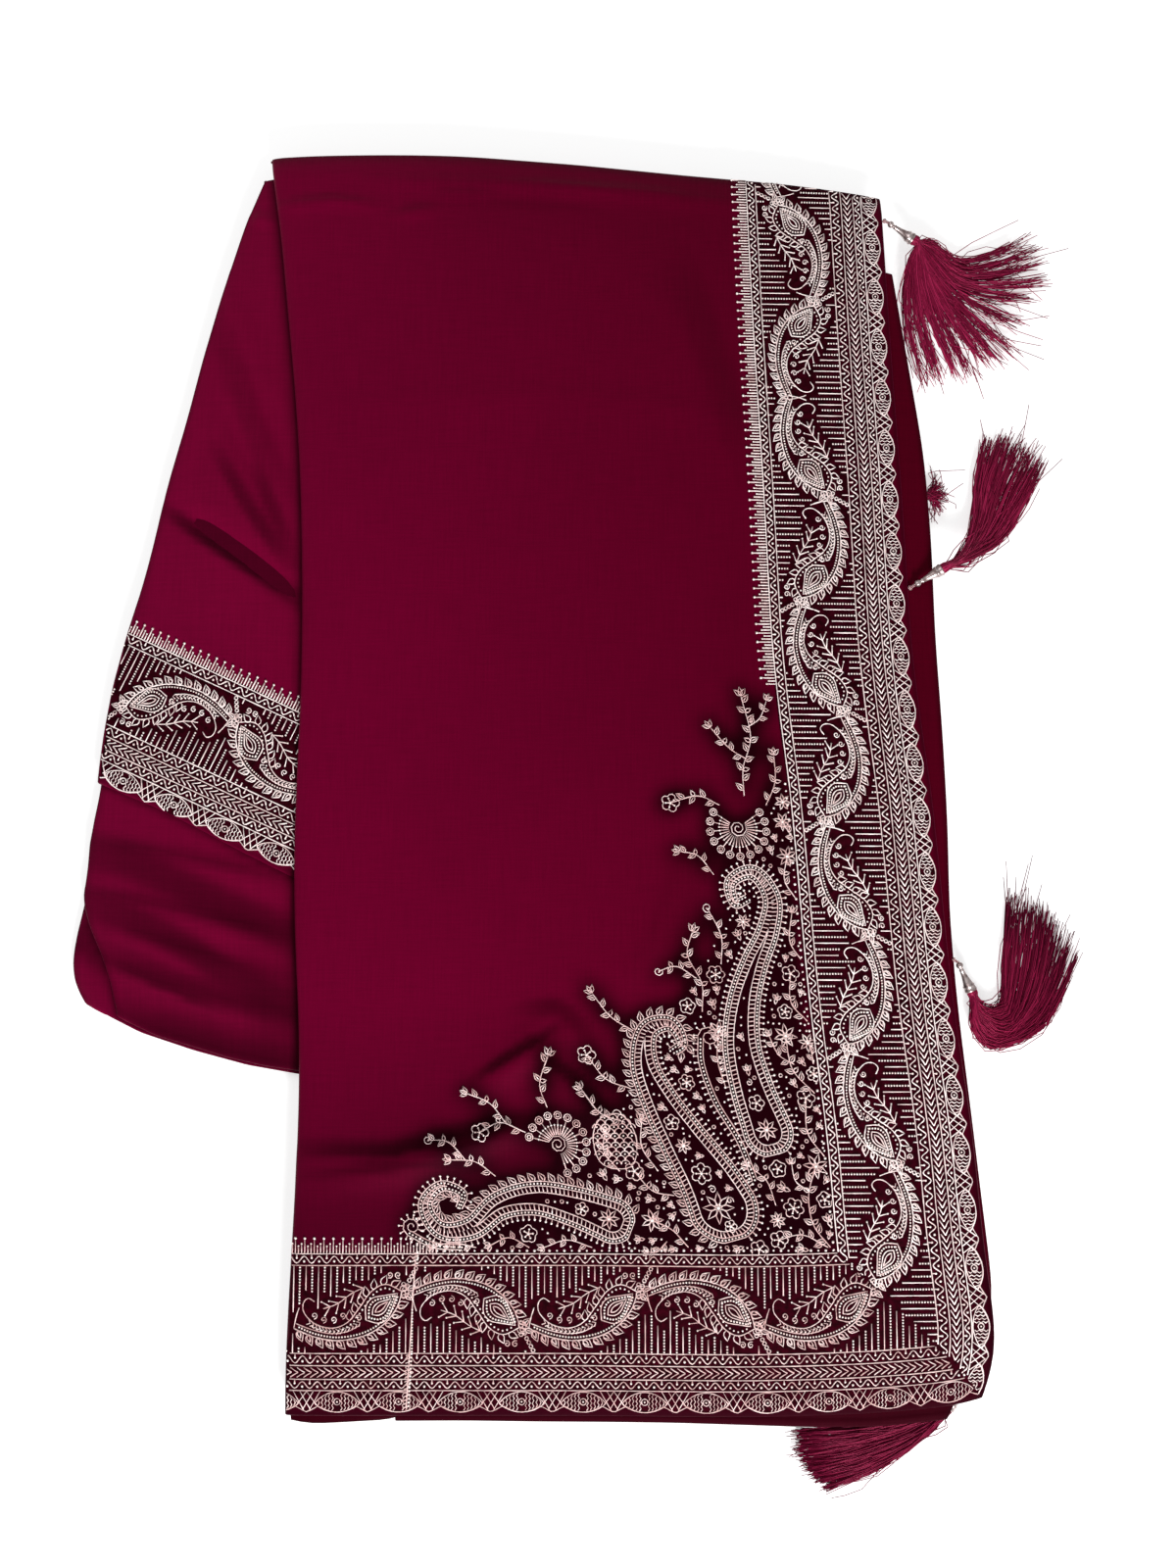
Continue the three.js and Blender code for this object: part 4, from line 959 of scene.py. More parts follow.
def vine_unit():
    """One paisley of the vine, in a box as long and wide as VINE says, tail left and head right."""
    work = Work()
    back = work.curve(
        [(0, 25.4), (9, 28.8), (19, 30.2), (30, 28.2), (38.2, 23.4), (43.4, 16.8), (45.4, 10.4)])
    belly = work.curve(
        [(8.6, 14.6), (6.0, 13.2), (3.9, 15.2), (4.4, 19.2), (9.2, 23.6), (16.6, 25.2), (22.8, 22.8),
         (27.6, 17.0), (32.6, 10.4), (38.6, 7.6), (45.4, 10.4)])
    work.beads(beside(back, -1.3), 1.25, 0.42, 2.0, 2.0)
    work.curve([(0.8, 23.4), (8.0, 25.9), (16.0, 27.4), (22.6, 26.6), (27.6, 24.2)])
    work.curve([(0, 25.4), (1.0, 20.5), (2.2, 17.0)])
    braid(work, spline([(6.0, 22.9), (12.0, 25.7), (18.0, 26.6), (24.0, 25.0), (28.4, 22.8)]), 1.6, 1.1, 1.0)
    head = Work()
    head.leaf((0, 0), 0, 17.0, 10.4, vein=False)
    head.leaf((3.4, 0), 0, 10.4, 4.6, vein=False)
    head.leaf((5.0, 0), 0, 7.0, 2.0, vein=False)
    rim = Work()
    rim.leaf((1.6, 0), 0, 14.0, 7.6, vein=False)
    head.beads(rim.lines[0], 1.25, 0.46)
    head_from, head_to = np.array([30.4, 22.0]), np.array([44.4, 10.6])
    lengthwise = polar(angle_of(head_to - head_from))
    spin = np.stack([lengthwise, left_of(lengthwise)])
    work.take(head.placed(lambda p: p @ spin + head_from))
    work.beads(beside(belly, 1.5), 1.9, 0.42, 21.0, 3.0)
    work.spiral((27.4, 21.2), 1.5, 1.3, 180)
    work.leaves(back, 4.3, 4.9, 3.0, 1, 46, 2.0, 1.0)
    work.leaves(beside(back, 0.4), 4.3, 2.9, 1.4, 1, 46, 2.2, 1.0)
    work.leaves(belly, 4.0, 4.4, 2.6, -1, 48, 32.0, 1.0)
    for at in ((8.6, 20.2), (12.6, 21.8), (16.8, 21.8), (20.6, 20.2)):
        work.spiral(at, 1.45, 1.25, 90, -1)
    for at in ((46.4, 9.6), (47.6, 8.2), (46.0, 7.6), (47.4, 10.6)):
        work.ring(at, 0.85, 6)
    for k in range(4):
        work.ring((48.4 + 0.9 * k, 6.0 - 1.6 * k), 0.8, 6)
    work.spiral((43.6, 3.8), 1.5, 1.3, 60, 1)
    work.spiral((40.2, 3.8), 1.4, 1.3, 120, -1)
    work.leaf((46.6, 11.4), 40, 4.2, 2.2)
    work.leaf((47.8, 9.4), -10, 3.8, 2.0)
    stem = work.curve([(30.0, 8.6), (24.0, 11.4), (18.4, 15.4), (12.4, 17.4)], 2.5)
    for at, way in zip(*along(stem, 3.9, 1.2, 1.0)):
        for lean in (-0.75, 0.75):
            tip = at + 4.2 * polar(angle_of(way) + lean)
            work.line(at, tip)
            work.dot(tip, 0.42)
    return work


def vine_row(rows, starts, unit_length, direction=1):
    """Paisleys one after another, every other one turned over.

    starts has a place and whether that paisley is turned over; direction 1 has its head ahead.
    """
    one = vine_unit()
    width = rows["guard"] - rows["vine"]
    share = np.array([unit_length / VINE["length"], width / VINE["width"]])
    vine = Work()
    for start, turned in starts:
        def place(p):
            v = (VINE["width"] - p[:, 1] if turned else p[:, 1]) * share[1]
            return np.stack([start + direction * p[:, 0] * share[0], rows["vine"] + v], -1)
        vine.take(one.placed(place))
    return vine


def hatch_row(vine, rows, start, end):
    """Upright lines, by turns plain and beaded, that fill the room between the vine and its guards."""
    work = Work()
    cell = HATCH["cell"]
    low, high = rows["vine"], rows["guard"]
    taken = np.zeros((int((end - start) / cell) + 8, int((high - low) / cell) + 1), bool)
    marks = np.concatenate([np.array(vine.dots)[:, :2]] + [along(line, cell)[0] for line in vine.lines])
    columns = ((marks[:, 0] - start) / cell).astype(int)
    heights = ((marks[:, 1] - low) / cell).astype(int)
    for di in range(-2, 3):
        for dj in range(-2, 3):
            i, j = columns + di, heights + dj
            good = (i >= 0) & (i < taken.shape[0]) & (j >= 0) & (j < taken.shape[1])
            taken[i[good], j[good]] = True
    for k, at in enumerate(np.arange(start + 1.0, end - 0.6, HATCH["pitch"])):
        column = taken[int((at - start) / cell)]
        for from_top in (True, False):
            free = column[::-1] if from_top else column
            room = cell * (int(np.argmax(free)) if free.any() else 0.45 * len(free))
            length = min(room - HATCH["gap"], HATCH["longest"]) * (1.0 if k % 3 else 0.88)
            if length < HATCH["least"]:
                continue
            a = high if from_top else low
            b = a - length if from_top else a + length
            if k % 2:
                work.straight((at, a), (at, b), 6)
            else:
                work.beads(np.array([(at, a), (at, b)]), 1.2, 0.46, 0.8)
    return work


def join_row(rows, foot, head):
    """Where one run of the embroidery ends upon the next: a line across the rows, and crowded stitches.

    foot and head are its places along the border at the scallops and at the inner guard.
    """
    work = Work()
    at = lambda depth: lerp(foot, head, depth / rows["inner"])
    work.straight((at(1.5), 1.5), (head, rows["inner"]), 2.5)
    for low, high in ((1.5, rows["vine"]), (rows["guard"], rows["inner"])):
        for depth in np.arange(low, high, 1.5):
            work.line((at(depth) - 1.4, depth), (at(depth) + 0.9, depth + 0.9))
            work.dot((at(depth) + 0.9, depth + 0.9), 0.5)
    return work


def guard_rows(rows, start, end, first_eye, pitch, comb):
    """All of a border but its vine, in its own plan: the place along it, and the depth from its tips.

    The scallops come as a work of their own, for their thread is finer.
    """
    work, fine = Work(), Work()
    for name in ("scallop", "wave", "chevron", "vine", "guard", "inner"):
        work.straight((start, rows[name]), (end, rows[name]), 2.5)
    scallop_row(fine, rows["scallop"], first_eye, start, end, pitch)
    wave_row(work, rows["scallop"], rows["wave"], start, end)
    chevron_row(work, rows["wave"], rows["chevron"], start, end)
    wave_row(work, rows["chevron"], rows["vine"], start, end)
    wave_row(work, rows["guard"], rows["inner"], start, end)
    comb_row(fine, rows["inner"], rows["comb"], *comb)
    return [(work, WEIGHTS["rows"]), (fine, WEIGHTS["edge"])]


# ---- Finishes: the places and distances in them are in metres ----
def linear(red, green, blue):
    """A colour given as 0 to 255 on the screen, as the shader takes it."""
    straight = lambda v: v / 12.92 if v <= 0.04045 else ((v + 0.055) / 1.055) ** 2.4
    return (straight(red / 255), straight(green / 255), straight(blue / 255), 1.0)


class Finish:
    """A node material. Each method adds nodes and gives back the socket that they end in."""

    def __init__(self, name, **values):
        self.material = bpy.data.materials.new(name)
        self.material.use_nodes = True
        self.tree = self.material.node_tree
        self.shader = self.tree.nodes["Principled BSDF"]
        self.place = self.tree.nodes.new("ShaderNodeTexCoord").outputs["Object"]
        for socket, value in values.items():
            self.shader.inputs[socket.replace("_", " ")].default_value = value

    def node(self, kind, inputs=None, **settings):
        made = self.tree.nodes.new(kind)
        for key, value in settings.items():
            setattr(made, key, value)
        for key, value in (inputs or {}).items():
            if isinstance(value, bpy.types.NodeSocket):
                self.tree.links.new(value, made.inputs[key])
            else:
                made.inputs[key].default_value = value
        return made

    def stretched(self, x, y, z):
        return self.node("ShaderNodeMapping", {"Vector": self.place, "Scale": (x, y, z)}).outputs["Vector"]

    def noise(self, scale, detail=3.0, roughness=0.55, at=None):
        inputs = {"Vector": at or self.place, "Scale": scale, "Detail": detail, "Roughness": roughness}
        return self.node("ShaderNodeTexNoise", inputs).outputs["Fac"]

    def wave(self, scale, direction, distortion=0.0):
        inputs = {"Vector": self.place, "Scale": scale, "Distortion": distortion, "Detail": 1.0}
        made = self.node("ShaderNodeTexWave", inputs, wave_type="BANDS", bands_direction=direction)
        return made.outputs["Fac"]

    def math(self, operation, a, b):
        return self.node("ShaderNodeMath", {0: a, 1: b}, operation=operation).outputs[0]

    def ramp(self, factor, *stops):
        made = self.node("ShaderNodeValToRGB", {"Fac": factor})
        elements = made.color_ramp.elements
        while len(elements) < len(stops):
            elements.new(0.5)
        for element, (place, colour) in zip(elements, stops):
            element.position, element.color = place, colour
        return made.outputs["Color"]

    def mixed(self, factor, a, b, blend="MIX"):
        made = self.node("ShaderNodeMix", data_type="RGBA", blend_type=blend)
        for socket, value in ((made.inputs[0], factor), (made.inputs[6], a), (made.inputs[7], b)):
            if isinstance(value, bpy.types.NodeSocket):
                self.tree.links.new(value, socket)
            else:
                socket.default_value = value
        return made.outputs[2]

    def across(self, axis, low, high):
        """0 to 1 from one place, in metres, to another along an axis."""
        split = self.node("ShaderNodeSeparateXYZ", {"Vector": self.place})
        inputs = {"Value": split.outputs[axis], "From Min": low, "From Max": high}
        return self.node("ShaderNodeMapRange", inputs).outputs["Result"]

    def weave(self):
        """The threads of the cloth, both ways."""
        return self.math("MULTIPLY", self.wave(560, "X", 0.6), self.wave(560, "Y", 0.6))

    def ranged(self, value, low, high):
        """A value of 0 to 1 that runs from low to high instead."""
        inputs = {"Value": value, "To Min": low, "To Max": high}
        return self.node("ShaderNodeMapRange", inputs).outputs["Result"]

    def tone(self):
        return self.node("ShaderNodeAttribute", attribute_name="tone").outputs["Fac"]

    def bump(self, height, distance, strength=1.0):
        inputs = {"Height": height, "Distance": distance, "Strength": strength}
        return self.node("ShaderNodeBump", inputs).outputs["Normal"]

    def finish(self, colour=None, roughness=None, normal=None):
        for socket, value in (("Base Color", colour), ("Roughness", roughness), ("Normal", normal)):
            if value is not None:
                self.tree.links.new(value, self.shader.inputs[socket])
        return self.material


def cloth_finish(name, lit, shade, left, right, sheen):
    """Wine art silk: a fine plain weave with slubs both ways, and a soft sheen of its own colour.

    Its colour goes from lit to shade between two places along X, a painted falloff of the light, and is
    darker where its tone, painted shade, is low.
    """
    made = Finish(
        name, IOR=1.45, Specular_IOR_Level=0.12, Specular_Tint=linear(235, 60, 120),
        Sheen_Weight=sheen, Sheen_Roughness=0.45, Sheen_Tint=linear(214, 40, 110),
    )
    across_slub = made.noise(1.0, 4, 0.7, made.stretched(60, 1500, 60))
    upright_slub = made.noise(1.0, 4, 0.7, made.stretched(1500, 45, 60))
    cloud = made.noise(9.0, 2)
    slub = made.math("MULTIPLY", made.math("ADD", across_slub, upright_slub), 0.5)
    body = made.mixed(1.0, made.mixed(made.across("X", left, right), lit, shade), made.tone(), "MULTIPLY")
    light = made.ramp(slub, (0.36, (0.86, 0.86, 0.86, 1)), (0.64, (1.12, 1.12, 1.12, 1)))
    soft = made.ramp(cloud, (0.3, (0.95, 0.95, 0.95, 1)), (0.7, (1.05, 1.05, 1.05, 1)))
    colour = made.mixed(1.0, made.mixed(1.0, body, light, "MULTIPLY"), soft, "MULTIPLY")
    relief = made.math("ADD", made.math("MULTIPLY", made.weave(), 0.5), slub)
    return made.finish(colour, made.ranged(slub, 0.72, 0.5), made.bump(relief, 0.00005, 0.5))


def ground_finish():
    """The cloth between dense stitching: the same wine, puckered, and darker with painted shade among the
    threads.
    """
    made = Finish("embroidery_ground", Roughness=0.8, IOR=1.45, Specular_IOR_Level=0.03)
    pucker = made.noise(420, 3)
    colour = made.ramp(pucker, (0.35, linear(26, 0, 4)), (0.65, linear(48, 0, 12)))
    relief = made.math("ADD", made.math("MULTIPLY", made.weave(), 0.3), pucker)
    return made.finish(colour, None, made.bump(relief, 0.0002, 0.6))


def zari_finish(name, dark, light, metallic, roughness):
    """Metal-wrapped thread, or the beads sewn in with it: pale rose silver, no two quite alike."""
    made = Finish(name, Metallic=metallic, IOR=1.5, Specular_IOR_Level=0.5)
    twist = made.noise(900, 2)
    patch = made.noise(160, 3, 0.7)
    own = made.math("MULTIPLY", made.tone(), 0.4)
    mixed = made.math("ADD", own, made.math("MULTIPLY", made.math("ADD", twist, patch), 0.3))
    colour = made.ramp(mixed, (0.3, dark), (0.68, light))
    rough = made.ranged(twist, roughness, roughness + 0.25)
    return made.finish(colour, rough, made.bump(twist, 0.00012, 0.5))


def silk_finish():
    """Loose tassel silk: wine, each thread its own shade, glossy along its length."""
    made = Finish(
        "tassel_silk", IOR=1.5, Specular_IOR_Level=0.35, Specular_Tint=linear(255, 120, 160),
        Sheen_Weight=0.3, Sheen_Roughness=0.3, Sheen_Tint=linear(240, 70, 130),
    )
    dark, middle, light = linear(84, 6, 34), linear(118, 16, 50), linear(158, 34, 76)
    colour = made.ramp(made.tone(), (0.0, dark), (0.6, middle), (1.0, light))
    return made.finish(colour, made.ranged(made.noise(700, 2), 0.32, 0.5))


def metal_finish():
    """The tassel caps: worn silver-toned metal with a rosy cast."""
    made = Finish("cap_metal", Metallic=0.9, IOR=1.5)
    wear = made.noise(500, 4)
    colour = made.ramp(wear, (0.35, linear(138, 118, 116)), (0.65, linear(212, 198, 196)))
    return made.finish(colour, made.ranged(wear, 0.42, 0.25), made.bump(wear, 0.0001, 0.4))


def cord_finish():
    """The short cord that a tassel hangs by: wine silk wound with pale thread."""
    made = Finish("cord_thread", IOR=1.5, Sheen_Weight=0.2)
    colour = made.ramp(made.wave(520, "DIAGONAL"), (0.4, linear(120, 44, 66)), (0.6, linear(196, 166, 162)))
    return made.finish(colour, None, made.bump(made.wave(520, "DIAGONAL"), 0.0003))


def floor_finish():
    """The white surface that it lies on, lit from within so that its shadows stay faint."""
    made = Finish(
        "floor", Base_Color=(0.6, 0.6, 0.6, 1), Roughness=0.9, Specular_IOR_Level=0.1,
        Emission_Color=(1, 1, 1, 1), Emission_Strength=0.62,
    )
    return made.material


# ---- The cloth ----
pallu_outline = Outline("pallu_front")
pallu = Surface(
    "pallu_front", pallu_outline, PALLU_CREASES, ("right", "foot"), ("left", "head"), FOLD_RADIUS["pallu"],
    PALLU_ROLLS, PALLU_SHADES,
)
back_outline = Outline("pallu_back")
back = Surface("pallu_back", back_outline, (), ("right", "foot"))
side_outlines = {level: Outline(f"side_{level}_ply", 2) for level in ("upper", "middle", "lower")}
side_creases = {"upper": SIDE_CREASES, "middle": MIDDLE_PLEATS, "lower": LOWER_PLEATS}
side_shades = {"upper": SIDE_SHADES, "middle": MIDDLE_SHADES, "lower": LOWER_SHADES}
sides = {
    level: Surface(
        f"side_{level}_ply", side_outlines[level], creases, ("foot",), ("left", "head"),
        FOLD_RADIUS["side"], SIDE_ROLLS, side_shades[level],
    )
    for level, creases in side_creases.items()
}

# Copies of one wine cloth with painted light: the sides' copy brighter, the third darker as painted shade for
# plies under others.
WINE = cloth_finish("wine_cloth", linear(96, 1, 36), linear(74, 0, 22), -0.15, 0.10, 0.1)
SIDE_WINE = cloth_finish("side_cloth", linear(103, 3, 41), linear(100, 2, 38), -0.24, -0.14, 0.12)
SHADED_WINE = cloth_finish("deep_cloth", linear(76, 0, 20), linear(66, 0, 16), -0.14, 0.13, 0.05)
GROUND_WINE = ground_finish()
ZARI = zari_finish("zari_thread", linear(210, 169, 166), linear(255, 240, 237), 0.0, 0.4)
BEAD = zari_finish("zari_bead", linear(242, 212, 205), linear(255, 247, 243), 0.0, 0.25)
SILK_FINISH = silk_finish()
METAL = metal_finish()
CORD = cord_finish()


def cloth_piece(name, node, slot, finish, surface, size, step, brightness):
    """A ply of thin cloth. size is how far it runs, across and up, and spaces its points."""
    solid = Solid()
    add_ply(solid, surface, size, step, brightness)
    piece = solid.piece(name, slot, finish)
    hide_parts(node)
    return piece


def pile_piece(name, node, covers, sizes, step=None):
    """The hidden plies. covers has the plies that lie on them, and how far under each they end."""
    solid = Solid()
    outline = Outline(node)
    if step:
        foot, left = outline.foot, outline.left
        outline.foot = lambda x: foot(x) - np.interp(x, step["x"], [step["foot"], 0.0])
        outline.left = lambda y: left(y) - np.interp(y, step["y"], [step["left"], 0.0])
    top = lambda x, y: np.min([ply.flat(x, y) - gap for ply, gap in covers.items()], axis=0)
    add_pile(solid, outline, top, **sizes)
    # The hidden plies take the darker copy of the cloth, painted shade.
    piece = solid.piece(name, "deep_cloth", SHADED_WINE)
    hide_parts(node)


pile_covers = {back: CLOTH + GAPS["back"], pallu: CLOTH + GAPS["pallu"]}
pile_piece("pile_plies", "hidden_pile", pile_covers, PILE, PILE_STEP)
pile_piece("fan_plies", "side_pile", {sides["lower"]: CLOTH + GAPS["side"]}, SIDE_PILE)


# ---- The borders ----
def on_hem(p):
    """From (place along the hem, depth from its tips) to the plan."""
    return np.stack([p[:, 0], pallu_outline.foot(p[:, 0]) + HEM_MARGIN + p[:, 1]], -1)


def on_end(p):
    """The same for the tasselled end, the place along it rising towards the bottom hem."""
    return np.stack([pallu_outline.right(-p[:, 0]) - END_MARGIN - p[:, 1], -p[:, 0]], -1)


SIDE_HEM = {"at": (-141.0, -56.0), "slope": math.radians(25.15)}
side_outline = side_outlines["upper"]


def on_side(p):
    """The same for the upper side ply's hem, the place along it rising towards its left edge."""
    left = polar(math.pi - SIDE_HEM["slope"])
    return np.array(SIDE_HEM["at"]) + p[:, :1] * left - (p[:, 1:] + HEM_MARGIN) * left_of(left)


def hem_share(x, y):
    """How far in from the hem a place is, as a share of the border's width there."""
    return (y - pallu_outline.foot(x) - HEM_MARGIN) / HEM_ROWS["inner"]


def end_share(x, y):
    return (pallu_outline.right(y) - END_MARGIN - x) / END_ROWS["inner"]


def in_hem(x, y):
    """Below the mitre where the two borders meet, and on the cloth."""
    return (hem_share(x, y) <= end_share(x, y)) & (x > pallu_outline.left(y) + 0.4)


def in_end(x, y):
    return (end_share(x, y) < hem_share(x, y)) & (y < pallu_outline.head(x) - 0.5)


def by_hem(x, y):
    """Where the ground of the hem's border lies: the mitre is covered once, by this one."""
    return (x > pallu_outline.left(y) + 0.4) & (end_share(x, y) > 0.045)


def by_end(x, y):
    return (hem_share(x, y) > 1.01) & (y < pallu_outline.head(x) - 0.5)


def on_side_ply(x, y):
    on_cloth = (x > side_outline.left(y) + 0.5) & (y > side_outline.foot(x) + 0.3)
    return on_cloth & (x < pallu_outline.left(y) + 3)


def on_ground(surface):
    """The height of the stitched ground on a ply, as a function of the place."""
    return lambda x, y: surface(x, y) + GROUND["lift"]


def ground_strip(solid, surface, place, kept, start, end, inner, first_eye, pitch):
    """The densely stitched ground of a border, as a thin strip on the cloth, scalloped outside.

    kept(x, y) says where there is cloth for it. Each row of the strip begins and ends there.
    """
    rows = []
    for share in np.linspace(0, 1, 23):
        s = np.linspace(start, end, 2 * int((end - start) / 2.2) + 1)
        at = lambda run: np.stack([run, lerp(scallop_depth(run - first_eye, pitch), inner, share)], -1)
        there = s[kept(*place(at(s)).T)]
        rows.append(place(at(np.linspace(there[0], there[-1], int((end - start) / 2.2)))))
    plan = np.array(rows)
    top = np.concatenate([plan, on_ground(surface)(plan[..., 0], plan[..., 1])[..., None]], -1)
    if np.cross(top[0, 1] - top[0, 0], top[1, 0] - top[0, 0])[2] < 0:
        top = top[:, ::-1]
    add_wall(solid, top, GROUND["thick"])


# Each border: the node it replaces; its rows; where it begins and ends, and where its hatching ends;
# the first eye of its scallops, and their pitch; from where to where it has a comb; the length of a
# paisley, and each run of them: the first one's place, which ones follow, whether the even (0) or the
# odd (1) ones are turned over, and whether they head along the border (1) or back (-1); where two runs
# of its embroidery join; the tones of its threads, low on the hem as painted shade where the lamps
# light it more, and how heavy they are.
BORDERS = {
    "hem_border": {
        "node": "pallu_hem_band", "rows": HEM_ROWS, "start": -140.6, "end": 158.0, "hatch": 150.0,
        "eye": 33.6, "pitch": 25.3, "comb": (-140.6, -78.0),
        "paisley": 48.6, "vines": [(-136.6, range(5), 0, 1)],
        "join": (-89.8, -86.4), "tones": (0.0, 0.6), "weight": 1.0,
    },
    "end_border": {
        "node": "pallu_end_band", "rows": END_ROWS, "start": -262.0, "end": 270.0, "hatch": 264.0,
        "eye": -253.0, "pitch": 23.62, "comb": (-262.0, -26.0),
        "paisley": 48.3, "vines": [(-158.5, range(8), 1, 1), (-156.5, range(3), 1, -1)],
        "join": None, "tones": (0.5, 1.2), "weight": 1.12,
    },
    "side_border": {
        "node": "side_hem_band", "rows": HEM_ROWS, "start": -6.0, "end": 140.0, "hatch": 140.0,
        "eye": 12.0, "pitch": 25.0, "comb": (-6.0, 140.0),
        "paisley": 48.6, "vines": [(8.0, range(-1, 2), 0, 1)],
        "join": None, "tones": (0.5, 1.2), "weight": 1.12,
    },
}
# The ply that each border lies on, how its plan is placed there, and where its threads and its
# ground are kept.
BORDER_PLACES = {
    "hem_border": (pallu, on_hem, in_hem, by_hem),
    "end_border": (pallu, on_end, in_end, by_end),
    "side_border": (sides["upper"], on_side, on_side_ply, on_side_ply),
}


def border_works(spec):
    """The rows, vine and hatch of a border in its own plan, and how heavy the thread of each is."""
    rows, start, end = spec["rows"], spec["start"], spec["end"]
    vine = Work()
    for first, places, turned, direction in spec["vines"]:
        starts = [(first + direction * spec["paisley"] * k, k % 2 == turned) for k in places]
        vine.take(vine_row(rows, starts, spec["paisley"], direction))
    hatch = hatch_row(vine, rows, start, spec["hatch"])
    guards = guard_rows(rows, start, end, spec["eye"], spec["pitch"], spec["comb"])
    works = [*guards, (vine, WEIGHTS["rows"]), (hatch, WEIGHTS["rows"])]
    if spec["join"]:
        works.append((join_row(rows, *spec["join"]), WEIGHTS["join"]))
    return works


def border_piece(name, spec):
    """A border as one piece: its ground, and its rows, vine and hatch stitched on that."""
    surface, place, kept, ground_kept = BORDER_PLACES[name]
    solid = Solid()
    inner = spec["rows"]["inner"] + 0.6
    ground_strip(
        solid, surface, place, ground_kept, spec["start"], spec["end"], inner, spec["eye"], spec["pitch"])
    works = [(work.placed(place).kept(kept), weight) for work, weight in border_works(spec)]
    for work, weight in works:
        add_threads(solid, work.lines, on_ground(surface), 1, weight * spec["weight"], spec["tones"])
    dots = [dot for work, _ in works for dot in work.dots]
    add_dots(solid, dots, on_ground(surface), 2)
    piece = solid.piece(name, "embroidery", GROUND_WINE, ZARI, BEAD)
    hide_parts(spec["node"])
    return piece


# ---- The corner work: paisleys, fans and sprays of this part's own drawing ----
CORNER_AT = 60.0  # the place along the hem where its drawing is measured up from


def in_corner(p):
    """From (how far in from the end border, how far up from the hem border) to the plan."""
    y = p[:, 1] + HEM_MARGIN + HEM_ROWS["inner"] + pallu_outline.foot(CORNER_AT)
    return np.stack([pallu_outline.right(y) - END_MARGIN - END_ROWS["inner"] - p[:, 0], y], -1)


def paisley_side(run, length, radius, tip, inset):
    """Half the width of a paisley at places along its spine: a round bulb, then a long neck."""
    ball = radius - inset
    round_foot = np.sqrt(np.clip(ball**2 - (ball - np.clip(run - inset, 0, ball)) ** 2, 0, None))
    neck = np.clip((run - radius) / (length - radius), 0, 1)
    taper = tip + (radius - tip) * (1 - neck) ** 1.15 - inset
    return np.where(run - inset < ball, round_foot, np.clip(taper, 0, None))


def paisley(work, spine, radius, tip, leafy=0):
    """A paisley along its spine: rims with beads and rungs between them, and pins or leaves outside.

    leafy is the side that has leaves in the place of pins, 1 being the left.
    """
    line = spline(spine, 0.9)
    run = run_of(line)
    half = lambda inset: paisley_side(run, run[-1], radius, tip, inset)

    def rim(inset, sign):
        wide = half(inset) > 0.05
        return beside(line, sign * half(inset))[wide]

    def closed(inset):
        return np.concatenate([rim(inset, 1)[::-1], rim(inset, -1)])

    for inset in (0, 1.9, 4.6):
        if radius > inset + 1.2:
            work.lines.append(along(closed(inset), 1.5)[0])
    work.beads(closed(0.95), 1.45, 0.46)
    if radius > 6:
        for at, way in zip(*along(closed(2.0), 1.8)):
            work.line(at, at + 2.4 * left_of(way) + 0.5 * way)
    for sign in (1, -1):
        if sign == leafy:
            work.leaves(rim(0, sign), 4.0, 4.4, 2.6, sign, 52, 3.0, 2.0, vein=True)
        else:
            work.pins(rim(0, sign), 2.5, 1.9, sign, 0.55, 1.0)


def inside_of(outline):
    """A test of whether points lie inside a closed outline."""
    ahead = np.roll(outline, -1, 0)

    def test(x, y):
        over = (outline[:, 1] > y) != (ahead[:, 1] > y)
        cut = outline[:, 0] + (y - outline[:, 1]) * (ahead[:, 0] - outline[:, 0]) / (
            ahead[:, 1] - outline[:, 1] + 1e-9)
        return (over & (x < cut)).sum() % 2 == 1

    return test


def net(work, corners, pitch=3.6):
    """Rows of small arches, like scales, inside a shape given by its corners."""
    outline = spline(corners, 2.0, closed=True)
    test = inside_of(outline)
    low, high = outline.min(0), outline.max(0)
    t = np.linspace(0, math.pi, 7)
    for row, y in enumerate(np.arange(low[1], high[1], pitch * 0.52)):
        for x in np.arange(low[0] + (row % 2) * pitch / 2, high[0], pitch):
            if test(x, y):
                work.lines.append(np.stack([x - pitch / 2 * np.cos(t), y + pitch * 0.5 * np.sin(t)], -1))
                if row % 2:
                    work.dot((x, y + 0.5), 0.4)
    work.lines.append(outline)


def fan(work, at, radius, start, sweep, spokes):
    """A fan: rays that end in small rings, about a coiled heart."""
    for tip in work.rays(at, spokes, radius * 0.35, radius * 0.8, start, sweep):
        way = unit(tip - np.array(at))
        work.ring(tip + way * 1.7, 1.6, 8)
        work.ring(tip + way * 1.7, 0.8, 6)
    for tip in work.rays(at, spokes * 2 - 1, radius * 0.3, radius * 0.62, start, sweep):
        work.dot(tip, 0.45)
    work.spiral(at, radius * 0.3, 2.0, start)


def coil(work, points, radius, hand, leafy=0):
    """A double stem that ends in a coil, beads in it and pins outside."""
    line = work.curve(points, 1.6)
    work.lines.append(beside(line, 2.2 * hand))
    work.beads(beside(line, 1.1 * hand), 1.5, 0.45)
    if leafy:
        work.leaves(line, 3.8, 4.2, 2.4, leafy, 50, 1.0, 0.0, vein=True)
    else:
        work.pins(line, 2.6, 1.8, -hand, 0.5)
    heading = angle_of(line[-1] - line[-3])
    middle = line[-1] + radius * left_of(polar(heading)) * hand
    start = math.degrees(heading) - 90 * hand
    work.spiral(middle, radius, 1.7, start, hand)
    turn = np.radians(start) + hand * np.linspace(0, 4.6, 9)
    for angle, reach in zip(turn, radius * (1 - 0.82 * np.linspace(0, 0.43, 9))):
        way = polar(angle)
        work.line(middle + way * reach, middle + way * (reach + 1.7))
        work.dot(middle + way * (reach + 1.7), 0.5)


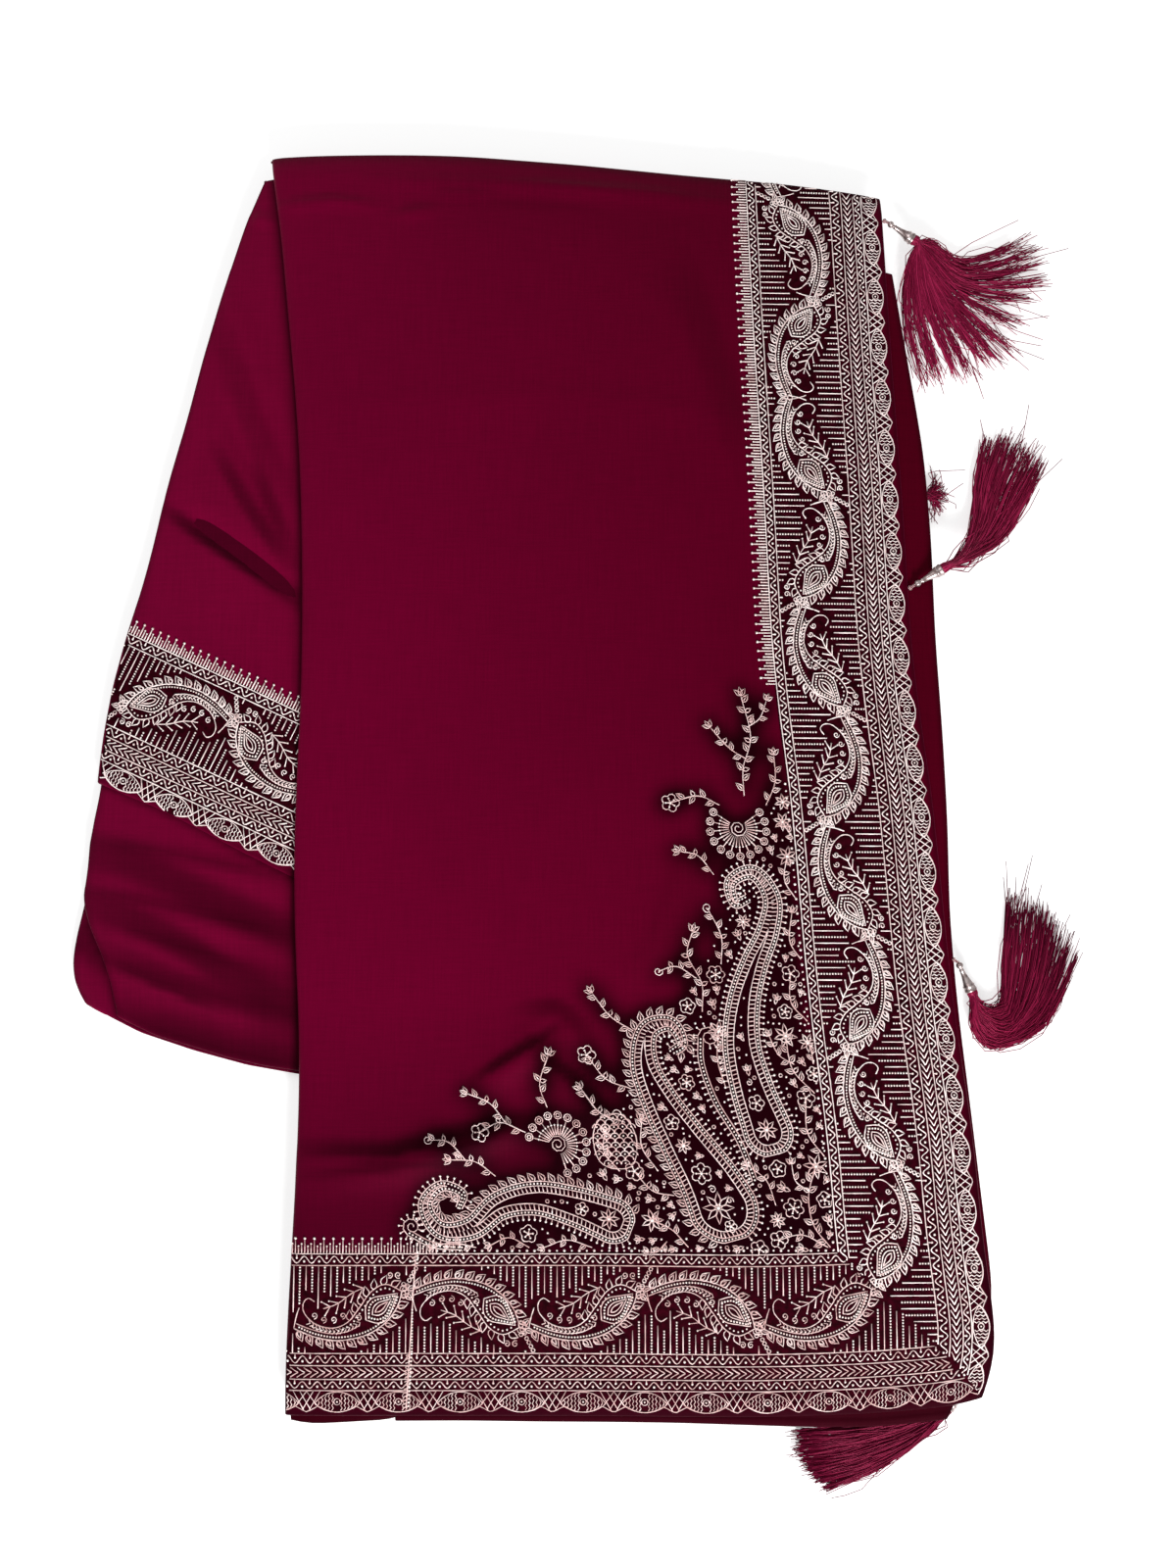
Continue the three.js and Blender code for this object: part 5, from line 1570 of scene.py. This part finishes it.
# What fills the corner between its sprays: how far its core runs, how close the places that are
# tried lie, the largest motif, and what stays clear around it. Then the room that each kind takes.
FILL = {"across": 150.0, "up": 214.0, "power": 0.8, "pitch": 2.7, "largest": 8.5, "clear": 1.1}
FILL_ROOMS = (6.4, 4.2, 2.8, 1.7)


def in_fill(x, y):
    """Whether a place is in the core of the corner work, where nothing is left bare."""
    return (x / FILL["across"]) ** FILL["power"] + (y / FILL["up"]) ** FILL["power"] < 1


def fill_motif(work, at, room, rank):
    """A twig, a bloom, a bud or a knot, by how much room there is."""
    heading = math.degrees(math.atan2(at[1] * 0.7, at[0])) + RANDOM.uniform(-50, 50)
    way = polar(math.radians(heading))
    side = left_of(way)
    reach = min(room, FILL["largest"]) - FILL["clear"]
    if rank == 0:
        stem = [at - way * reach, at + side * reach * RANDOM.uniform(-0.3, 0.3), at + way * reach * 0.5]
        work.spray(stem, 3.0, 3.2, ("star", "flower", "bud")[RANDOM.integers(3)])
    elif rank == 1 and RANDOM.uniform() < 0.6:
        work.flower(at, reach, int(RANDOM.integers(5, 7)), heading)
    elif rank == 1:
        work.star(at, reach, int(RANDOM.integers(6, 9)), heading)
    elif rank == 2:
        for lean in (-46, 0, 46, 180):
            work.leaf(at, heading + lean, reach * (1.1 if lean != 180 else 0.9), reach * 0.55, vein=False)
    elif RANDOM.uniform() < 0.35:
        work.ring(at, 0.75, 6)
    else:
        work.dot(at, 0.5)


def fill(work):
    """Motifs in the bare places of the core, the largest first."""
    pitch = FILL["pitch"]
    marks = np.concatenate([along(line, 1.0)[0] for line in work.lines] + [np.array(work.dots)[:, :2]])
    spots = [
        (x, y)
        for x in np.arange(3, FILL["across"], pitch) for y in np.arange(3, FILL["up"], pitch)
        if in_fill(x, y)
    ]
    spots = np.array(spots) + RANDOM.uniform(-0.8, 0.8, (len(spots), 2))
    for rank, least in enumerate(FILL_ROOMS):
        for spot in spots:
            room = np.hypot(*(marks - spot).T).min()
            if room < least:
                continue
            before = len(work.lines)
            fill_motif(work, spot, room, rank)
            added = [along(line, 1.0)[0] for line in work.lines[before:]]
            marks = np.concatenate([marks, *added, spot[None]])


# The sprays of the corner: their stem's places, the size of their leaves, and what ends them.
SPRAYS = [
    ([(20, 192), (19, 204), (14, 218), (16, 236)], 4.2, "bud"),
    ([(17, 208), (24, 213), (31, 222)], 3.8, "bud"),
    ([(31, 188), (40, 192), (52, 189)], 4.0, "flower"),
    ([(11, 188), (6, 198), (5, 210)], 3.8, "bud"),
    ([(15, 222), (9, 226), (5, 234)], 3.4, "bud"),
    ([(46, 100), (45, 112), (50, 124), (47, 134)], 4.0, "bud"),
    ([(47, 114), (55, 119), (63, 117)], 3.6, "curl"),
    ([(76, 92), (85, 98), (92, 108)], 3.8, "bud"),
    ([(80, 68), (90, 72), (97, 82)], 4.0, "flower"),
    ([(84, 54), (94, 58), (101, 68)], 3.8, "bud"),
    ([(116, 60), (118, 70), (113, 82)], 4.0, "bud"),
    ([(126, 50), (136, 54), (145, 50)], 3.8, "flower"),
    ([(134, 54), (140, 62), (149, 66)], 3.6, "bud"),
    ([(140, 32), (148, 38), (158, 39)], 3.8, "bud"),
    ([(152, 39), (158, 46), (167, 47)], 3.4, "curl"),
    ([(3, 3), (9, 12), (10, 24), (6, 36)], 4.2, "star"),
    ([(4, 3), (14, 8), (24, 6)], 3.8, "flower"),
    ([(10, 26), (15, 30), (16, 37)], 3.4, "bud"),
    ([(2, 40), (8, 50), (7, 64)], 4.0, "flower"),
    ([(3, 66), (11, 76), (12, 90)], 4.0, "star"),
    ([(10, 78), (16, 82), (19, 90)], 3.4, "bud"),
    ([(2, 96), (8, 104), (7, 116)], 3.8, "flower"),
    ([(2, 122), (6, 130), (4, 142)], 3.6, "bud"),
    ([(2, 148), (6, 156), (4, 166)], 3.6, "star"),
    ([(62, 3), (68, 10), (76, 14)], 3.8, "star"),
    ([(66, 24), (75, 26), (82, 34)], 4.0, "flower"),
    ([(72, 34), (78, 44), (77, 55)], 3.8, "bud"),
    ([(102, 3), (112, 6), (122, 3)], 3.4, "bud"),
    ([(128, 3), (136, 7), (144, 4)], 3.4, "bud"),
    ([(150, 3), (160, 5), (168, 3)], 3.2, "bud"),
    ([(40, 68), (42, 80), (40, 92)], 3.6, "star"),
    ([(36, 120), (35, 132), (40, 144)], 3.8, "curl"),
    ([(88, 34), (94, 42), (93, 50)], 3.6, "bud"),
    ([(24, 20), (27, 30), (34, 36)], 3.6, "bud"),
    ([(36, 158), (42, 166), (50, 168)], 3.6, "bud"),
]


def corner_drawing():
    work = Work()
    # The great paisley stands on the corner and leans out over the cloth.
    paisley(
        work,
        [(42, 5), (45, 16), (51, 30), (60, 46), (68, 62), (73, 78), (70, 92), (60, 95), (56, 87), (61, 83)],
        14.5, 1.7, leafy=-1,
    )
    work.star((48, 19), 6.6, 8)
    work.flower((54, 33), 4.4, 6)
    work.star((60.5, 44.5), 3.4, 7)
    work.flower((43.5, 11.5), 2.6, 5)
    work.spiral((50, 26.5), 1.8, 1.3, 30)
    work.spiral((43, 22), 1.6, 1.3, 200, -1)
    # A slender one stands beside the end border, and rises to a coil.
    paisley(
        work,
        [(22, 40), (25, 52), (29, 68), (31, 86), (28, 104), (22, 120), (15, 134), (12, 148), (19, 159),
         (29, 155), (28, 146), (22, 148)],
        10.5, 1.8,
    )
    work.star((25, 51), 4.6, 8)
    work.flower((28, 62), 3.4, 5)
    work.spiral((30, 70.5), 1.5, 1.3, 90)
    # A third lies along the hem border.
    paisley(
        work,
        [(84, 10), (95, 15), (109, 20), (124, 23), (139, 20), (151, 11), (164, 10), (170, 20), (163, 28),
         (154, 25), (156, 19)],
        9.5, 1.3, leafy=1,
    )
    work.star((94, 14.6), 4.4, 8)
    work.flower((105, 18.6), 2.8, 5)
    net(work, [(82, 37), (89, 35), (96, 38), (98, 48), (94, 56), (85, 57), (80, 48)])
    fan(work, (24, 178), 13.0, 145, 250, 13)
    fan(work, (113, 45), 13.0, 15, 240, 13)
    coil(work, [(33, 30), (38, 46), (46, 62), (50, 78), (49, 90)], 4.6, 1)
    coil(work, [(156, 2), (168, 3), (178, 8)], 4.0, 1)
    for stem, size, end in SPRAYS:
        work.spray(stem, 4.4, size, end)
    fill(work)
    for length, place in ((200, lambda at: (1.7, at)), (168, lambda at: (at, 1.7))):
        for at in np.arange(2, length, 3.1):
            work.dot(place(at), 0.62 if at % 2 > 1 else 0.45)
    return work


def worked_brightness(work):
    """What the cloth keeps of its brightness under the painted shade among dense stitching, as a function of
    the place.
    """
    cell = WORKED["cell"]
    points = np.concatenate([along(line, cell / 2)[0] for line in work.lines])
    low = points.min(0) - 12 * cell
    at = ((points - low) / cell).astype(int)
    filled = np.zeros(at.max(0) + 14)
    filled[at[:, 0], at[:, 1]] = 1
    for _ in range(WORKED["passes"]):
        for axis in (0, 1):
            filled = (filled + np.roll(filled, 1, axis) + np.roll(filled, -1, axis)) / 3
    kept = 1 - WORKED["dark"] * np.clip(filled * WORKED["share"], 0, 1)
    return lambda x, y: sampled(kept.T, (y - low[1]) / cell - 0.5, (x - low[0]) / cell - 0.5)


corner_threads = corner_drawing().placed(in_corner)
beside_corner = worked_brightness(corner_threads)


def dimmed(surface, dims, x, y):
    """What a ply keeps of its brightness under painted shade towards its edges."""
    kept = np.ones(np.shape(x))
    for edge, reach, dark in dims:
        kept *= dimmer(surface.inset(edge, x, y), reach, dark)
    return kept


# The painted shade of the panel, among the corner's stitching and towards its edges, and of its underside.
def panel_brightness(x, y):
    return beside_corner(x, y) * dimmed(pallu, PALLU_DIMS, x, y)


def back_brightness(x, y):
    return dimmed(back, BACK_DIMS, x, y)


def side_brightness(level):
    """Painted shadow where a side ply goes in under the fold of the panel, and where it goes under the side
    ply above it.
    """
    above = {"lower": "middle", "middle": "upper"}.get(level)

    def brightness(x, y):
        away = np.clip(pallu_outline.left(y) - x, 0, None)
        kept = 1 - TOUCHING["dark"] * np.exp(-((away / TOUCHING["reach"]) ** 2))
        if above:
            past = np.maximum(side_outlines[above].left(y) - x, side_outlines[above].foot(x) - y)
            kept *= 1 - UNDER["dark"] * np.exp(-((np.clip(past, 0, None) / UNDER["reach"]) ** 2))
        return kept * dimmed(sides[level], SIDE_DIMS[level], x, y)

    return brightness


panel = cloth_piece("pallu_panel", "pallu_front", "cloth", WINE, pallu, (292, 546), GRID["pallu"],
                    panel_brightness)
# The underside takes the darker copy of the cloth, painted shade.
under = cloth_piece("pallu_underside", "pallu_back", "deep_cloth", SHADED_WINE, back, (250, 500), GRID["under"],
                    back_brightness)
side_cloths = {
    level: cloth_piece(
        f"side_{level}_cloth", f"side_{level}_ply", "cloth", SIDE_WINE, sides[level], size, GRID["side"],
        side_brightness(level),
    )
    for level, size in {"lower": (80, 375), "middle": (78, 390), "upper": (74, 300)}.items()
}


def corner_piece():
    solid = Solid()
    # The corner's threads are kept low in tone, painted shade as on the hem border.
    add_threads(solid, corner_threads.lines, pallu, 0, WEIGHTS["corner"], (0.0, 0.6))
    add_dots(solid, corner_threads.dots, pallu, 1)
    return solid.piece("corner_work", "embroidery", ZARI, BEAD)


hem_piece, end_piece, side_piece = (border_piece(name, spec) for name, spec in BORDERS.items())
corner = corner_piece()


# ---- The tassels ----
def thread_paths(root, spec, axis):
    """The threads of a tassel: from its cap, out between its guides, and down on to the surface.

    They gather in clumps towards their tips, but for a few stray ones.
    """
    axis = unit(np.array(axis, float))
    root = np.array(root, float)
    guides = np.array(spec["guides"], float)
    count, clumps = spec["threads"], spec["clumps"]
    steps = guides.shape[1]
    own = RANDOM.uniform(0, 1, count)
    clump = (np.floor(own * clumps) + RANDOM.uniform(0.25, 0.75, clumps)[(own * clumps).astype(int)]) / clumps
    gather = SILK["gather"] * np.arange(1, steps + 1) / steps
    w = lerp(own[:, None], clump[:, None], gather) * (len(guides) - 1)
    first = np.minimum(w.astype(int), len(guides) - 2)
    step = np.arange(steps)
    plan = lerp(guides[first, step], guides[first + 1, step], (w - first)[..., None])
    level = RANDOM.uniform(0, 1, count)
    reach = np.clip(RANDOM.normal(*spec["reach"], count), 0.7, 1.1)
    stray = RANDOM.uniform(0, 1, count) < spec["stray"]
    reach[stray] *= RANDOM.uniform(1.02, 1.14, stray.sum())
    angle = RANDOM.uniform(0, 2 * math.pi, count)
    out = SILK["spread"] * np.sqrt(RANDOM.uniform(0, 1, count))
    side, up = square_to(axis)
    start = root + side * (out * np.cos(angle))[:, None] + up * (out * np.sin(angle))[:, None]
    knots = [start, start + axis * 3.5]
    for k in range(steps):
        share = (k + 1) / steps
        low = SILK["floor"] + SILK["radius"] + SILK["rise"] * level * (1 - 0.45 * share)
        z = lerp(start[:, 2], low, min(1.0, share * 1.7))
        wander = RANDOM.normal(0, 0.4 + 0.7 * share, (count, 2)) * np.where(stray, 4.2, 1.0)[:, None]
        knots.append(np.column_stack([plan[:, k] + wander, z]))
    knots = np.stack(knots, 1)
    t = np.linspace(0, 1, SILK["steps"])[None] * np.minimum(reach, 1.0)[:, None] * (knots.shape[1] - 1)
    i = np.clip(t.astype(int), 0, knots.shape[1] - 2)
    pick = lambda shift: np.take_along_axis(
        knots, np.clip(i + shift, 0, knots.shape[1] - 1)[..., None], 1)
    paths = between_knots(pick(-1), pick(0), pick(1), pick(2), (t - i)[..., None])
    longer = np.clip(reach - 1, 0, None)[:, None, None] * (paths[:, -1:] - paths[:, -3:-2])
    grow = np.linspace(0, 1, SILK["steps"])[None, :, None] ** 3
    paths = paths + longer * grow * 3
    ripple = np.linspace(0, 1, SILK["steps"])[None] * RANDOM.uniform(4, 9, count)[:, None]
    paths[..., 2] += 0.25 * np.sin(ripple * 2)
    paths[..., 2] = np.maximum(paths[..., 2], SILK["floor"] + SILK["radius"])
    return paths


def skirt_piece(name, node, root, axis, spec):
    """The silk of a tassel: its loose threads, and the bound root that they come out of."""
    solid = Solid()
    paths = thread_paths(root, spec, axis)
    radius = SILK["radius"] * np.linspace(1.15, 0.75, SILK["steps"])[None]
    add_tubes(solid, paths, radius, 3, RANDOM.uniform(*spec["tones"], spec["threads"]))
    profile = [(-2.4, 0.3), (-2.3, 1.9), (-0.4, 2.2), (1.8, 2.3), (3.4, 1.6), (3.7, 0.3)]
    add_turned(solid, root, axis, profile, 14, 0.5)
    piece = solid.piece(name, "tassel_silk", SILK_FINISH)
    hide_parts(node)


def cap_piece(name, node, start, axis):
    """A long bell cap with rings turned on it, a neck, and a bead where the cord comes in."""
    solid = Solid()
    bead = [(0.0, 0.3), (0.15, 0.9), (0.6, 1.35), (1.4, 1.55), (2.1, 1.35), (2.5, 0.95)]
    neck = [(2.8, 0.8), (3.3, 0.85), (3.6, 1.2), (4.0, 1.0), (6.2, 1.3), (7.6, 1.5), (9.2, 1.85)]
    bell = [(10.6, 2.35), (10.8, 2.6), (11.2, 2.65), (11.45, 2.4), (12.3, 2.6), (12.9, 2.8), (13.3, 2.8)]
    mouth = [(13.5, 2.6), (13.4, 2.2), (12.2, 2.0), (12.0, 0.3)]
    add_turned(solid, start, axis, bead + neck + bell + mouth, 24)
    piece = solid.piece(name, "cap_metal", METAL)
    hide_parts(node)


def cord_piece(name, node, start, end):
    """Two strands laid round each other from the hem to the bead, and the knot at the hem."""
    solid = Solid()
    start, end = np.array(start), np.array(end)
    share = np.linspace(0, 1, 14)
    axis = unit(end - start)
    side, up = square_to(axis)
    strands = []
    for phase in (0, math.pi):
        angle = phase + 2 * math.pi * 1.5 * share
        twist = 0.32 * (side * np.cos(angle)[:, None] + up * np.sin(angle)[:, None])
        strands.append(lerp(start, end, share[:, None]) + twist)
    add_tubes(solid, np.array(strands), 0.36, 6)
    knot = [(-0.9, 0.2), (-0.7, 0.8), (0.0, 1.15), (0.7, 0.8), (0.9, 0.2)]
    add_turned(solid, start, axis, knot, 10)
    piece = solid.piece(name, "cord_thread", CORD)
    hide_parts(node)


for name, spec in TASSELS.items():
    cap_from, cap_to = (np.array(point) for point in spec["cap"])
    axis = unit(cap_to - cap_from)
    cord_piece(f"{name}_loop", f"{name}_cord", spec["hem"], cap_from - axis * 0.1)
    cap_piece(f"{name}_bell", f"{name}_cap", cap_from, axis)
    root = cap_from + axis * (CAP_LENGTH - CAP_OVERLAP)
    skirt_piece(f"{name}_silk", f"{name}_skirt", root, axis, spec)
skirt_piece("tassel_tucked_silk", "tassel_tucked_skirt", TUCKED_TASSEL["root"], TUCKED_TASSEL["towards"],
            TUCKED_TASSEL)


# ---- Floor, light and camera ----
def build_stage():
    mesh = bpy.data.meshes.new("floor")
    reach, level = FLOOR["reach"], FLOOR["level"]
    corners = [(x * reach, y * reach, level) for x, y in ((-1, -1), (1, -1), (1, 1), (-1, 1))]
    mesh.from_pydata(corners, [], [(0, 1, 2, 3)])
    mesh.materials.append(floor_finish())
    floor = bpy.data.objects.new("floor", mesh)
    bpy.context.scene.collection.objects.link(floor)
    floor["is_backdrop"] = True


def stand(name, data, place, target):
    """A lamp or a camera that stands at a place and looks at a target."""
    made = bpy.data.objects.new(name, data)
    made.location = place
    made.rotation_euler = (target - place).to_track_quat("-Z", "Y").to_euler()
    bpy.context.scene.collection.objects.link(made)
    return made


def softbox(name, place, size, power):
    data = bpy.data.lights.new(name, "AREA")
    data.shape, data.size, data.energy = "SQUARE", size, power
    stand(name, data, Vector(place), Vector((0, 0, 0)))


def build_light():
    world = bpy.data.worlds.new("studio")
    world.use_nodes = True
    background = world.node_tree.nodes["Background"].inputs
    background["Color"].default_value = (1, 1, 1, 1)
    background["Strength"].default_value = AMBIENT
    bpy.context.scene.world = world
    for name, lamp in LAMPS.items():
        softbox(name, **lamp)
    bpy.context.scene.view_settings.view_transform = "Standard"


def build_camera():
    data = bpy.data.cameras.new("camera")
    data.lens, data.sensor_width, data.sensor_fit = CAMERA["lens"], CAMERA["sensor"], "AUTO"
    place, target = Vector(CAMERA["from"]) * MM, Vector(CAMERA["to"]) * MM
    bpy.context.scene.camera = stand("camera", data, place, target)


build_stage()
build_light()
build_camera()

visual_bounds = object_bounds()
sizes = {
    "cad": [list(corner) for corner in cad_bounds],
    "visual": [list(corner) for corner in visual_bounds],
}
